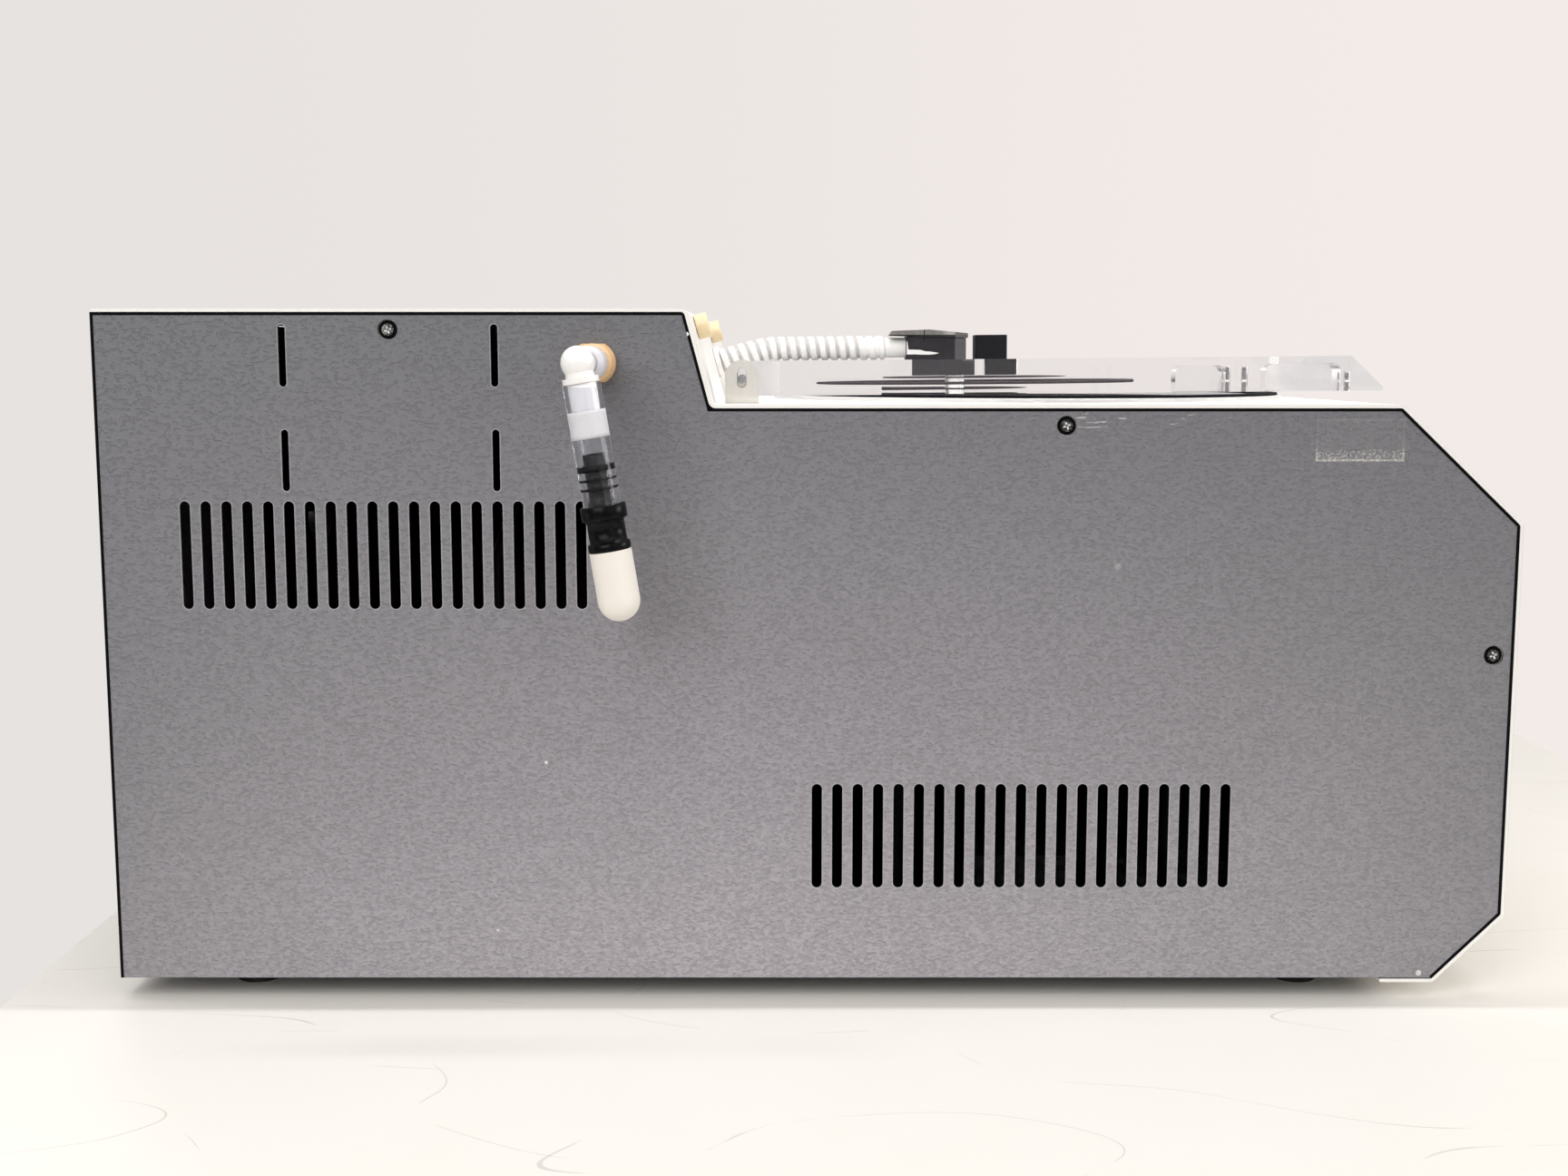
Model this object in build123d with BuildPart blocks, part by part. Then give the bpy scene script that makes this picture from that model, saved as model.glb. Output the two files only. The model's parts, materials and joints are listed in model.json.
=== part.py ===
from build123d import *
import os
from math import cos, radians, sin, sqrt, tan

os.makedirs("parts", exist_ok=True)

# Vacuum concentrator, in millimetres: +X is the front, -Y the side with the exhaust, +Z up.
# The side outline is drawn from the lower rear corner of the side panels.
panel_length = 648.7
panel_height = 310.2
top_length = 266.9
slant_angle = 15.0
step_height = 43.2
bevel_run = 55.8
bevel_drop = 53.0
lower_bevel = 31.0
case_width = 368.0
foot_height = 10.0
deck_height = panel_height - step_height
deck_start = top_length + step_height * tan(radians(slant_angle))
deck_end = panel_length - bevel_run

# Sheet metal
cover_gap = 0.6
cover_sheet = 1.5
cover_bend = 2.0
return_flange = 24.0
panel_sheet = 1.5
panel_inset = 0.5
rear_sheet = 1.5
pan_sheet = 2.0
pan_flange = 18.0
pan_clearance = 1.0
cut_over = 0.5
hole_clearance = 0.2

# Vents in the side panels
slot_width = 4.76
slot_length = 49.7
slot_pitch = 9.525
slot_count = 21
rear_vent = (38.7, panel_height - 134.6)
front_vent = (panel_length - 320.9, 43.7)
thin_slot_width = 3.3
thin_slot_length = 28.0
thin_slots = [(x, panel_height - drop) for drop in (32.9, 80.3) for x in (85.5, 181.5)]

# Panel screws and their tabs
screw_inset = 7.3
front_screw_inset = 8.6
top_screw_x = top_length - 133.4
deck_screw_x = deck_end - 151.8
front_screw_z = panel_height - 156.2
screw_hole_d = 9.1
screw_head_d = 8.7
screw_head_h = 1.2
screw_recess = (4.6, 0.9)
screw_recess_depth = 0.7
screw_shank_d = 4.0
screw_length = 7.0
tab_width = 18.0
tab_bite = 0.4

# Feet
foot_top_d = 26.0
foot_bottom_d = 22.0
foot_x = (56.0, panel_length - 86.7)
foot_inboard = 33.0
foot_recess_d = 11.0
foot_recess_depth = 6.0
foot_head_h = 2.5
foot_head_gap = 1.0
foot_screw_over = 2.0

# Chamber, as large as the deck allows
ring_rear_margin = 28.125
ring_front_margin = 10.3
ring_outer_r = (deck_end - deck_start - ring_rear_margin - ring_front_margin) / 2
ring_width = 16.0
chamber_x = deck_end - ring_front_margin - ring_outer_r
bowl_inner_r = ring_outer_r - ring_width
bowl_wall = 3.0
bowl_depth = 100.0
bowl_floor = 4.0
bowl_corner = 12.0
cutout_clearance = 1.5
ring_height = 2.0
ring_edge = 0.6
gasket_inner_r = bowl_inner_r + 4.0
gasket_outer_r = ring_outer_r - 1.4
gasket_height = 1.2
heater_height = 46.0
heater_thickness = 1.6
heater_drop = 30.0
post_r = 7.0
post_circle_r = bowl_inner_r - 18.0

# Drive
shaft_r = 6.0
running_fit = 0.05
motor_r = 44.0
motor_height = 76.0
motor_wall = 3.0
motor_flange_r = 62.0
motor_flange = 4.0
motor_spacer_r = 5.0
motor_spacer_height = 12.0
motor_spacer_circle_r = 53.0
bearing_r = 14.0
bearing_height = 8.0
seal_r = 13.0
seal_height = 7.0
seal_lip = 2.0
shaft_inset = 1.0
shaft_edge = 0.6
stack_r = 27.0
stack_height = 38.0

# Rotor
rotor_r = bowl_inner_r - 18.0
plate_thickness = 3.0
base_plate_rise = 22.0
tube_plate_rise = 62.0
hub_r = 15.0
hub_collar_r = 24.0
hub_collar_height = 9.0
spacer_r = 4.0
spacer_count = 3
well_r = 8.5
well_circle_r = rotor_r - 20.0
spacer_circle_r = (hub_collar_r + well_circle_r - well_r) / 2
well_count = 12
tip_hole_r = 5.0
rotor_knob_r = 15.0
rotor_knob_height = 17.0
rotor_knob_bore = 11.0
grip_count = 16
grip_r = 1.6
grip_offset = 0.6

# Lid, drawn about its hinge pin and tilted up a little
pin_x = deck_start + 14.2246
pin_height = deck_height + 13.6
lid_tilt = 0.5
lid_thickness = 16.5
lid_reach = deck_end + 4.6 - pin_x
lid_bevel = 15.3
lid_lip = 1.6
lid_width = 2 * ring_outer_r + 9.0
pin_r = 2.0
pin_length = 9.0
pin_grip = 10.0
relief_width = 17.0
relief_length = 16.5
pocket_width = 14.0
pocket_edge = 8.0
pockets = [(lid_reach - 97.8, 24.0, 12.5), (lid_reach - 54.8, 36.0, 13.0)]
pocket_corner = 4.0
lid_screw_r = 1.5
lid_screw_gap = 0.5
pin_end_gap = 0.5
lid_screws_at = [(lid_reach - 72.0, 12.0), (lid_reach - 63.6, 12.0), (lid_reach - 14.3, 9.0)]

# Hinge brackets
bracket_width = 15.8
bracket_top = 8.8
bracket_thickness = 12.0
bracket_gap = 0.4
bracket_slot_up = 3.0
bracket_slot_down = 0.1

# Hose from the slanted face to the lid
hose_r = 6.5
hose_valley_r = 5.7
hose_bore_r = 4.5
rib_pitch = 5.4
rib_crest = 2.9
rib_ramp = 0.4
hose_start_z = deck_height + 21.2
hose_end = 75.5
hose_rest_gap = 0.3
hose_port_r = 8.5
hose_port_flange = 3.0
hose_barb_length = 9.0
hose_tail_length = 16.0
barb_fit = 0.1

# Fittings on the lid
elbow_at = 110.0
elbow_leg_r = 5.0
elbow_barb_length = 18.0
cuff_r = 5.4
cuff_length = 11.6
lid_sink = 8.2
boot_rear = 87.1
boot_front = 119.8
boot_height = 13.4
boot_width = 16.0
boot_cap_rear = 78.0
boot_cap_front = 120.8
boot_cap_thickness = 2.5
boot_cap_width = 18.0
boot_cap_drop = 1.6
boot_cap_ridge = 0.6
boot_cap_lean = 1.5
boot_end_gap = 0.3
cuff_cut_over = 5.0
pull_at = 133.7
pull_size = 17.3
pull_height = 13.3
pull_edge = 1.2

# Knobs on the slanted face, inboard of the near cover edge
knob_r = 6.0
knob_length = 6.4
knob_gap = 0.3
knob_edge = 0.5
valve_end_gap = 0.5
knob_z = panel_height - 5.5
knob_inboard = {"left": 48.0, "right": case_width / 2 + 24.0}
knob_shaft_r = 2.5
valve_r = 5.0
valve_length = 16.0

# Exhaust port on the near panel
port_x = top_length - 40.3
port_z = panel_height - 22.2
collar_d = 20.0
collar_flats = 17.2
collar_length = 5.0
port_bore_r = 5.0
port_boss_wall = 2.0
port_nut_r = 10.0
port_nut_length = 5.0
grey_washer_r = 8.7
grey_washer_length = 2.0
white_ring_r = 7.6
white_ring_length = 2.4
elbow_out = 44.0
elbow_back = 2.4
elbow_shoulder = 1.0
elbow_lean = 9.17
ball_r = 7.4
out_leg_r = 5.5
down_leg_r = 6.25
elbow_bore_r = 3.0
down_bore_r = 4.0
bead_r = 8.0
bead_start = 6.2
bead_end = 8.8
down_leg_end = 27.0
tube_start = 9.0
tube_end = 61.7
tube_outer_r = 8.25
tube_inner_r = 6.35
band_start = 20.7
band_end = 32.5
band_thickness = 0.35
adapter_barb_start = 42.0
adapter_barb_count = 3
adapter_barb_pitch = 5.0
adapter_barb_run = 4.0
adapter_barb_root = 0.2
adapter_core_r = 4.6
adapter_collar_r = 10.0
adapter_collar_length = 6.3
adapter_body_r = 8.25
adapter_body_length = 10.1
adapter_ring_r = 9.3
adapter_ring_length = 3.6
muffler_r = 9.25
muffler_length = 31.2
muffler_wall = 3.0
elbow_spigot = 8.0
elbow_spigot_bore_r = 3.5

# Pump in the rear bay
pump_x = 120.0
pump_y = 10.0
pump_length = 96.0
pump_width = 84.0
pump_block = 74.0
pump_mount_height = 16.0
pump_mount_r = 9.0
pump_mount_inset = 12.0
pump_corner = 6.0
pump_fin_count = 24
pump_fin_r = 2.0
pump_fin_offset = 1.2
pump_motor_r = 41.0
pump_motor_length = 92.0
head_r = 30.0
head_height = 26.0
head_spacing = 62.0
head_cap = 45.0
head_cap_corner = 5.0
head_cap_height = 6.0
pump_inlet_run = 26.0
pump_inlet_rise = 74.0
pump_outlet_run = 34.0
pump_outlet_side = 62.0
pump_outlet_drop = 30.0
pump_outlet_rise = 70.0
pump_outlet_dip = 40.0
pump_tube_r = 5.0
pump_tube_bore_r = 3.0

# Fan in the rear panel
fan_size = 80.0
fan_depth = 25.4
fan_y = case_width / 2 - 80.0
fan_z = panel_height - 96.2
fan_bore_r = 37.5
fan_hub_r = 17.0
fan_tip_gap = 1.2
fan_blades = 7
fan_corner = 4.0
spider_arm = 5.0
spider_bite = 0.5
spider_hub_inset = 1.0
blade_inset = 1.0
fan_pin_gap = 0.3
fan_pin_r = 2.0
fan_spider = 3.0
fan_back_gap = 1.0
fan_blade_sheet = 1.6
fan_blade_angle = 32.0
fan_screw_spacing = 71.5
guard_wire = 1.8
guard_stand = 2.0
guard_eye_r = 3.6
guard_pitch = 8.0
guard_rings = [fan_bore_r - 3.5 - ring * guard_pitch for ring in range(4)]

# Mains inlet and switch in the rear panel
inlet_y = 88.0 - case_width / 2
inlet_z = 62.0
inlet_flange = (50.0, 28.0)
inlet_flange_thickness = 2.5
inlet_body = (40.0, 23.0)
inlet_body_depth = 22.0
inlet_mouth = (24.5, 17.0)
inlet_mouth_depth = 16.5
blade = (4.0, 2.0, 14.0)
blade_spread = 7.0
blade_drop = 1.5
blade_rise = 2.5
flange_corner = 4.0
body_corner = 2.0
mouth_corner = 3.0
switch_rise = 44.0
switch_flange = (33.0, 25.0)
switch_body = (28.0, 20.0)
switch_depth = 18.0
rocker_size = (24.0, 15.0)
rocker_depth = 9.0
rocker_tilt = 8.0
rocker_gap = 0.7
rocker_pin_depth = 3.0
rocker_pin_r = 1.5
rocker_crown = 1.8
rocker_foot = 0.75
rocker_foot_gap = 1.5
rocker_pin_bite = 1.0

# Control panel on the front bevel
bezel_width = 190.0
bezel_height = 58.0
bezel_thickness = 1.2
bezel_corner = 4.0
window_size = (74.0, 26.0)
window_x = -38.0
window_lip = 2.0
key_size = 14.0
key_gap = 0.35
key_proud = 2.2
key_corner = 1.5
key_edge = 0.6
key_flange = 2.0
key_flange_thickness = 1.2
key_travel = 1.0
key_at = {"start": 36.0, "stop": 64.0}
board_thickness = 1.6
board_post_r = 2.5
board_margin = 2.0

# Electronics tray at the front of the base
tray_x = panel_length - 178.7
tray_size = (150.0, 86.0)
tray_y = 56.0 - case_width / 2
tray_posts_height = 8.0
tray_post_r = 4.0
tray_post_inset = 6.0
transformer = (50.0, 44.0, 38.0)
transformer_x = -40.0
capacitor_r = 11.0
capacitor_height = 30.0
capacitors = [(16.0, -18.0), (16.0, 12.0), (44.0, -18.0)]
heat_sink = (52.0, 18.0)
heat_sink_height = 26.0
fin_count = 5
fin_pitch = 7.0
fin_length = 26.0
fin_sheet = 2.0
fin_spine = 3.0

# Wall between the pump bay and the chamber
wall_x = top_length - 8.9
wall_sheet = 1.5
wall_height = deck_height - 17.0
wall_flange = 16.0

# Places worked out from the sizes above
rear_reach = guard_stand + guard_wire
front_reach = panel_length + cover_gap + cover_sheet
case_half = case_width / 2
panel_outer = case_half - panel_inset
panel_inner = panel_outer - panel_sheet
exhaust_reach = panel_outer + elbow_out + adapter_collar_r
rear_x = (rear_reach - front_reach) / 2
mid_y = (exhaust_reach - case_half) / 2
deck_top = deck_height + cover_gap + cover_sheet
bowl_floor_z = deck_top - bowl_depth
bowl_under_z = bowl_floor_z - bowl_floor
cover_proud = cover_gap + cover_sheet

side = Plane(origin=(rear_x, mid_y, foot_height), x_dir=(1, 0, 0), z_dir=(0, -1, 0))
level = Plane(origin=(rear_x, mid_y, foot_height), x_dir=(1, 0, 0), z_dir=(0, 0, 1))
chamber = Plane(origin=(rear_x + chamber_x, mid_y, foot_height), x_dir=(1, 0, 0), z_dir=(0, 0, 1))
rear = Plane(origin=(rear_x, mid_y, foot_height), x_dir=(0, -1, 0), z_dir=(-1, 0, 0))


def place(x, y, z):
    """A point given from the case's lower rear corner and its centre plane."""
    return (rear_x + x, mid_y + y, foot_height + z)


def offset_path(points, distance):
    """Move an open run of points to its left, with mitred corners."""
    normals = []
    for start, end in zip(points, points[1:]):
        length = sqrt((end[0] - start[0]) ** 2 + (end[1] - start[1]) ** 2)
        normals.append(((start[1] - end[1]) / length, (end[0] - start[0]) / length))
    moved = []
    for index, point in enumerate(points):
        before = normals[max(index - 1, 0)]
        after = normals[min(index, len(normals) - 1)]
        share = distance / (1 + before[0] * after[0] + before[1] * after[1])
        moved.append((point[0] + (before[0] + after[0]) * share, point[1] + (before[1] + after[1]) * share))
    return moved


# Side outline of the case, from the rear top edge round the front to the underside
wrap = [
    (0, panel_height),
    (top_length, panel_height),
    (deck_start, deck_height),
    (panel_length - bevel_run, deck_height),
    (panel_length, deck_height - bevel_drop),
    (panel_length, lower_bevel),
    (panel_length - lower_bevel, 0),
]
panel_screws = [
    (top_screw_x, panel_height - screw_inset),
    (deck_screw_x, deck_height - screw_inset),
    (panel_length - front_screw_inset, front_screw_z),
]

# The slanted face: its plane touches the cover's outer surface, with x along the case's width
slant_normal = (cos(radians(slant_angle)), 0, sin(radians(slant_angle)))


def slant_at(y, z):
    """Plane on the slanted face's outer surface at height z, facing out of the face."""
    x = top_length + (panel_height - z) * tan(radians(slant_angle))
    x += cover_proud / cos(radians(slant_angle))
    return Plane(origin=place(x, y, z), x_dir=(0, 1, 0), z_dir=slant_normal)


# The bevel: its plane touches the cover's outer surface at the middle of the slope
bevel_length = sqrt(bevel_run**2 + bevel_drop**2)
bevel_normal = (bevel_drop / bevel_length, 0, bevel_run / bevel_length)
bevel = Plane(
    origin=place(
        panel_length - bevel_run / 2 + bevel_normal[0] * cover_proud,
        0,
        deck_height - bevel_drop / 2 + bevel_normal[2] * cover_proud,
    ),
    x_dir=(0, 1, 0),
    z_dir=bevel_normal,
)

# Base pan: a folded tray between the side panels
pan_end = panel_length - lower_bevel - pan_clearance
foot_places = [(x, y) for x in foot_x for y in (case_half - foot_inboard, foot_inboard - case_half)]
with BuildPart() as base_pan:
    with BuildSketch(level):
        with Locations(((rear_sheet + pan_end) / 2, 0)):
            Rectangle(pan_end - rear_sheet, 2 * panel_inner)
    extrude(amount=pan_sheet)
    for turn in (1, -1):
        with BuildSketch(level.offset(pan_sheet)):
            with Locations(((rear_sheet + pan_end) / 2, turn * (panel_inner - pan_sheet / 2))):
                Rectangle(pan_end - rear_sheet, pan_sheet)
        extrude(amount=pan_flange - pan_sheet)
    with BuildSketch(level):
        with Locations(*foot_places):
            Circle(screw_shank_d / 2 + hole_clearance)
    extrude(amount=pan_sheet, mode=Mode.SUBTRACT)
base_pan.part.label = "base_pan"
export_step(base_pan.part, "parts/base_pan.step")

# Top cover: one sheet bent over the top, slant, deck, bevels and front, with screw tabs inside
cover_path = wrap + [(panel_length - lower_bevel - return_flange, 0)]
outer_radii = [cover_bend + cover_sheet] * 6
inner_radii = [cover_bend] * 6
outer_radii[1] = cover_bend
inner_radii[1] = cover_bend + cover_sheet
outer_path = offset_path(cover_path, cover_proud)
inner_path = offset_path(cover_path, cover_gap)
tab_y = panel_inner - cover_sheet / 2
tab_join = cover_gap + tab_bite
top_hole_r = bowl_inner_r + bowl_wall + cutout_clearance
with BuildPart() as top_cover:
    with BuildSketch(side):
        with BuildLine():
            FilletPolyline(*outer_path, radius=outer_radii)
            Line(outer_path[-1], inner_path[-1])
            FilletPolyline(*inner_path, radius=inner_radii)
            Line(inner_path[0], outer_path[0])
        make_face()
    extrude(amount=case_half, both=True)
    for turn in (1, -1):
        with BuildSketch(side.offset(turn * tab_y)):
            for x, z in panel_screws[:2]:
                with Locations((x, z + tab_join / 2)):
                    Rectangle(tab_width, 2 * screw_inset + tab_join)
            with Locations((panel_screws[2][0] + tab_join / 2, panel_screws[2][1])):
                Rectangle(2 * front_screw_inset + tab_join, tab_width)
        extrude(amount=cover_sheet / 2, both=True)
        with BuildSketch(side.offset(turn * tab_y)):
            with Locations(*panel_screws):
                Circle(screw_shank_d / 2 + hole_clearance)
        extrude(amount=cover_sheet, both=True, mode=Mode.SUBTRACT)
    with BuildSketch(chamber.offset(deck_height)):
        Circle(top_hole_r)
    extrude(amount=cover_proud + cut_over, mode=Mode.SUBTRACT)
    for inboard in knob_inboard.values():
        with BuildSketch(slant_at(inboard - case_half, knob_z)):
            Circle(knob_shaft_r + hole_clearance)
        extrude(amount=-cover_sheet - cut_over, mode=Mode.SUBTRACT)
    with BuildSketch(slant_at(0, hose_start_z)):
        Circle(hose_bore_r + hole_clearance)
    extrude(amount=-cover_sheet - cut_over, mode=Mode.SUBTRACT)
    with BuildSketch(bevel):
        with Locations((window_x, 0)):
            Rectangle(window_size[0] - 2 * window_lip, window_size[1] - 2 * window_lip)
        for key_x in key_at.values():
            with Locations((key_x, 0)):
                Rectangle(key_size + 2 * key_gap, key_size + 2 * key_gap)
    extrude(amount=-cover_sheet - cut_over, mode=Mode.SUBTRACT)
top_cover.part.label = "top_cover"
export_step(top_cover.part, "parts/top_cover.step")

# Side panels: flat sheets with vents and screw holes, the near one with the exhaust port's hole
panel_outline = wrap + [(0, 0)]


def slots(start):
    """Centres of a row of upright slots, from the lower end of the first one."""
    return [(start[0] + index * slot_pitch, start[1] + slot_length / 2) for index in range(slot_count)]


def draw_panel(port_r):
    """The sketch that both side panels share."""
    Polygon(*panel_outline, align=None)
    for vent in (rear_vent, front_vent):
        with Locations(*slots(vent)):
            SlotOverall(slot_length, slot_width, rotation=90, mode=Mode.SUBTRACT)
    with Locations(*[(x, z + thin_slot_length / 2) for x, z in thin_slots]):
        SlotOverall(thin_slot_length, thin_slot_width, rotation=90, mode=Mode.SUBTRACT)
    with Locations(*panel_screws):
        Circle(screw_hole_d / 2, mode=Mode.SUBTRACT)
    if port_r:
        with Locations((port_x, port_z)):
            Circle(port_r, mode=Mode.SUBTRACT)


port_boss_r = port_bore_r + port_boss_wall
with BuildPart() as left_side_panel:
    with BuildSketch(side.offset(panel_inner)):
        draw_panel(port_boss_r + hole_clearance)
    extrude(amount=panel_sheet)
left_side_panel.part.label = "left_side_panel"
export_step(left_side_panel.part, "parts/left_side_panel.step")

with BuildPart() as right_side_panel:
    with BuildSketch(side.offset(-panel_outer)):
        draw_panel(0)
    extrude(amount=panel_sheet)
right_side_panel.part.label = "right_side_panel"
export_step(right_side_panel.part, "parts/right_side_panel.step")

# Rear panel: a sheet between the side panels with the fan, inlet and switch cut-outs
fan_screws = [
    (-fan_y + fan_screw_spacing / 2 * i, fan_z + fan_screw_spacing / 2 * j) for i in (-1, 1) for j in (-1, 1)
]
with BuildPart() as rear_panel:
    with BuildSketch(rear.offset(-rear_sheet)):
        with Locations((0, panel_height / 2)):
            Rectangle(2 * panel_inner, panel_height)
        with Locations((-fan_y, fan_z)):
            Circle(fan_bore_r, mode=Mode.SUBTRACT)
        with Locations(*fan_screws):
            Circle(screw_shank_d / 2 + hole_clearance, mode=Mode.SUBTRACT)
        with Locations((-inlet_y, inlet_z)):
            Rectangle(
                inlet_body[0] + 2 * hole_clearance, inlet_body[1] + 2 * hole_clearance, mode=Mode.SUBTRACT
            )
        with Locations((-inlet_y, inlet_z + switch_rise)):
            Rectangle(
                switch_body[0] + 2 * hole_clearance, switch_body[1] + 2 * hole_clearance, mode=Mode.SUBTRACT
            )
    extrude(amount=rear_sheet)
rear_panel.part.label = "rear_panel"
export_step(rear_panel.part, "parts/rear_panel.step")

# Screws that hold the side panels to the cover's tabs, and the feet to the base pan
with BuildPart() as case_screws:
    for turn in (1, -1):
        seat = side if turn > 0 else Plane(origin=side.origin, x_dir=(-1, 0, 0), z_dir=(0, 1, 0))
        seats = [(turn * x, z) for x, z in panel_screws]
        with BuildSketch(seat.offset(panel_inner)):
            with Locations(*seats):
                Circle(screw_head_d / 2)
        extrude(amount=screw_head_h)
        with BuildSketch(seat.offset(panel_inner)):
            with Locations(*seats):
                Circle(screw_shank_d / 2)
        extrude(amount=-screw_length)
        with BuildSketch(seat.offset(panel_inner + screw_head_h)):
            with Locations(*seats):
                Rectangle(*screw_recess)
                Rectangle(*screw_recess, rotation=90)
        extrude(amount=-screw_recess_depth, mode=Mode.SUBTRACT)
    with BuildSketch(level.offset(foot_recess_depth - foot_height - foot_head_h)):
        with Locations(*foot_places):
            Circle(foot_recess_d / 2 - foot_head_gap)
    extrude(amount=foot_head_h)
    with BuildSketch(level.offset(foot_recess_depth - foot_height)):
        with Locations(*foot_places):
            Circle(screw_shank_d / 2)
    extrude(amount=foot_height - foot_recess_depth + pan_sheet + foot_screw_over)
case_screws.part.label = "case_screws"
export_step(case_screws.part, "parts/case_screws.step")

# Rubber feet: tapered, each with a recess for its screw
with BuildPart() as rubber_feet:
    for x, y in foot_places:
        with BuildSketch(level.offset(-foot_height)):
            with Locations((x, y)):
                Circle(foot_bottom_d / 2)
        with BuildSketch(level):
            with Locations((x, y)):
                Circle(foot_top_d / 2)
        loft()
    with BuildSketch(level.offset(-foot_height)):
        with Locations(*foot_places):
            Circle(foot_recess_d / 2)
    extrude(amount=foot_recess_depth, mode=Mode.SUBTRACT)
    with BuildSketch(level.offset(-foot_height)):
        with Locations(*foot_places):
            Circle(screw_shank_d / 2 + hole_clearance)
    extrude(amount=foot_height, mode=Mode.SUBTRACT)
rubber_feet.part.label = "rubber_feet"
export_step(rubber_feet.part, "parts/rubber_feet.step")

# Wall between the pump bay and the chamber, with a foot folded forward onto the pan
with BuildPart() as bay_wall:
    with BuildSketch(level.offset(pan_sheet)):
        with Locations((wall_x + wall_sheet / 2, 0)):
            Rectangle(wall_sheet, 2 * (panel_inner - pan_sheet))
    extrude(amount=wall_height)
    with BuildSketch(level.offset(pan_sheet)):
        with Locations((wall_x + wall_sheet + wall_flange / 2, 0)):
            Rectangle(wall_flange, 2 * (panel_inner - pan_sheet))
    extrude(amount=wall_sheet)
bay_wall.part.label = "bay_wall"
export_step(bay_wall.part, "parts/bay_wall.step")

# Chamber bowl, hung in the deck's round hole and standing on four posts
bowl_outer_r = bowl_inner_r + bowl_wall
seal_hole_r = seal_r + running_fit
chamber_side = Plane(origin=chamber.origin, x_dir=(1, 0, 0), z_dir=(0, -1, 0))
with BuildPart() as chamber_bowl:
    with BuildSketch(chamber_side):
        with BuildLine():
            FilletPolyline(
                (seal_hole_r, bowl_under_z),
                (bowl_outer_r, bowl_under_z),
                (bowl_outer_r, deck_top),
                radius=bowl_corner,
            )
            Line((bowl_outer_r, deck_top), (bowl_inner_r, deck_top))
            FilletPolyline(
                (bowl_inner_r, deck_top),
                (bowl_inner_r, bowl_floor_z),
                (seal_hole_r, bowl_floor_z),
                radius=bowl_corner - bowl_wall,
            )
            Line((seal_hole_r, bowl_floor_z), (seal_hole_r, bowl_under_z))
        make_face()
    revolve(axis=Axis(chamber.origin, (0, 0, 1)))
chamber_bowl.part.label = "chamber_bowl"
export_step(chamber_bowl.part, "parts/chamber_bowl.step")

# Ring round the chamber's mouth, and the gasket on it
with BuildPart() as chamber_ring:
    with BuildSketch(chamber.offset(deck_top)):
        Circle(ring_outer_r)
        Circle(bowl_inner_r, mode=Mode.SUBTRACT)
    extrude(amount=ring_height)
    outer_edges = chamber_ring.edges().filter_by(GeomType.CIRCLE).sort_by(SortBy.RADIUS)[-2:]
    fillet(outer_edges.sort_by(Axis.Z)[-1], ring_edge)
chamber_ring.part.label = "chamber_ring"
export_step(chamber_ring.part, "parts/chamber_ring.step")

with BuildPart() as lid_gasket:
    with BuildSketch(chamber.offset(deck_top + ring_height)):
        Circle(gasket_outer_r)
        Circle(gasket_inner_r, mode=Mode.SUBTRACT)
    extrude(amount=gasket_height)
lid_gasket.part.label = "lid_gasket"
export_step(lid_gasket.part, "parts/lid_gasket.step")

# Heater band round the bowl
heater_inner_r = bowl_outer_r + running_fit
with BuildPart() as band_heater:
    with BuildSketch(chamber.offset(deck_height - heater_drop - heater_height)):
        Circle(heater_inner_r + heater_thickness)
        Circle(heater_inner_r, mode=Mode.SUBTRACT)
    extrude(amount=heater_height)
band_heater.part.label = "band_heater"
export_step(band_heater.part, "parts/band_heater.step")

# Posts that carry the bowl above the base pan
with BuildPart() as bowl_posts:
    with BuildSketch(chamber.offset(pan_sheet)):
        with PolarLocations(post_circle_r, 4, start_angle=45):
            Circle(post_r)
    extrude(amount=bowl_under_z - pan_sheet)
bowl_posts.part.label = "bowl_posts"
export_step(bowl_posts.part, "parts/bowl_posts.step")

# Drive motor: a hollow housing with a flange, hung from the bowl's floor on four spacers
motor_top = bowl_under_z - motor_spacer_height
motor_base = motor_top - motor_height
with BuildPart() as motor_housing:
    with BuildSketch(chamber.offset(motor_base)):
        Circle(motor_r)
    extrude(amount=motor_height)
    with BuildSketch(chamber.offset(motor_top - motor_flange)):
        Circle(motor_flange_r)
    extrude(amount=motor_flange)
    with BuildSketch(chamber.offset(motor_top)):
        with PolarLocations(motor_spacer_circle_r, 4):
            Circle(motor_spacer_r)
    extrude(amount=motor_spacer_height)
    with BuildSketch(chamber.offset(motor_base + bearing_height)):
        Circle(motor_r - motor_wall)
    extrude(amount=motor_height - 2 * bearing_height, mode=Mode.SUBTRACT)
    with BuildSketch(chamber.offset(motor_base)):
        Circle(bearing_r)
    extrude(amount=motor_height, mode=Mode.SUBTRACT)
motor_housing.part.label = "motor_housing"
export_step(motor_housing.part, "parts/motor_housing.step")

# Two bearings in the motor's ends, and the seal in the bowl's floor
with BuildPart() as motor_bearings:
    for level_z in (motor_base, motor_top - bearing_height):
        with BuildSketch(chamber.offset(level_z)):
            Circle(bearing_r - running_fit)
            Circle(shaft_r + running_fit, mode=Mode.SUBTRACT)
        extrude(amount=bearing_height)
motor_bearings.part.label = "motor_bearings"
export_step(motor_bearings.part, "parts/motor_bearings.step")

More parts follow.
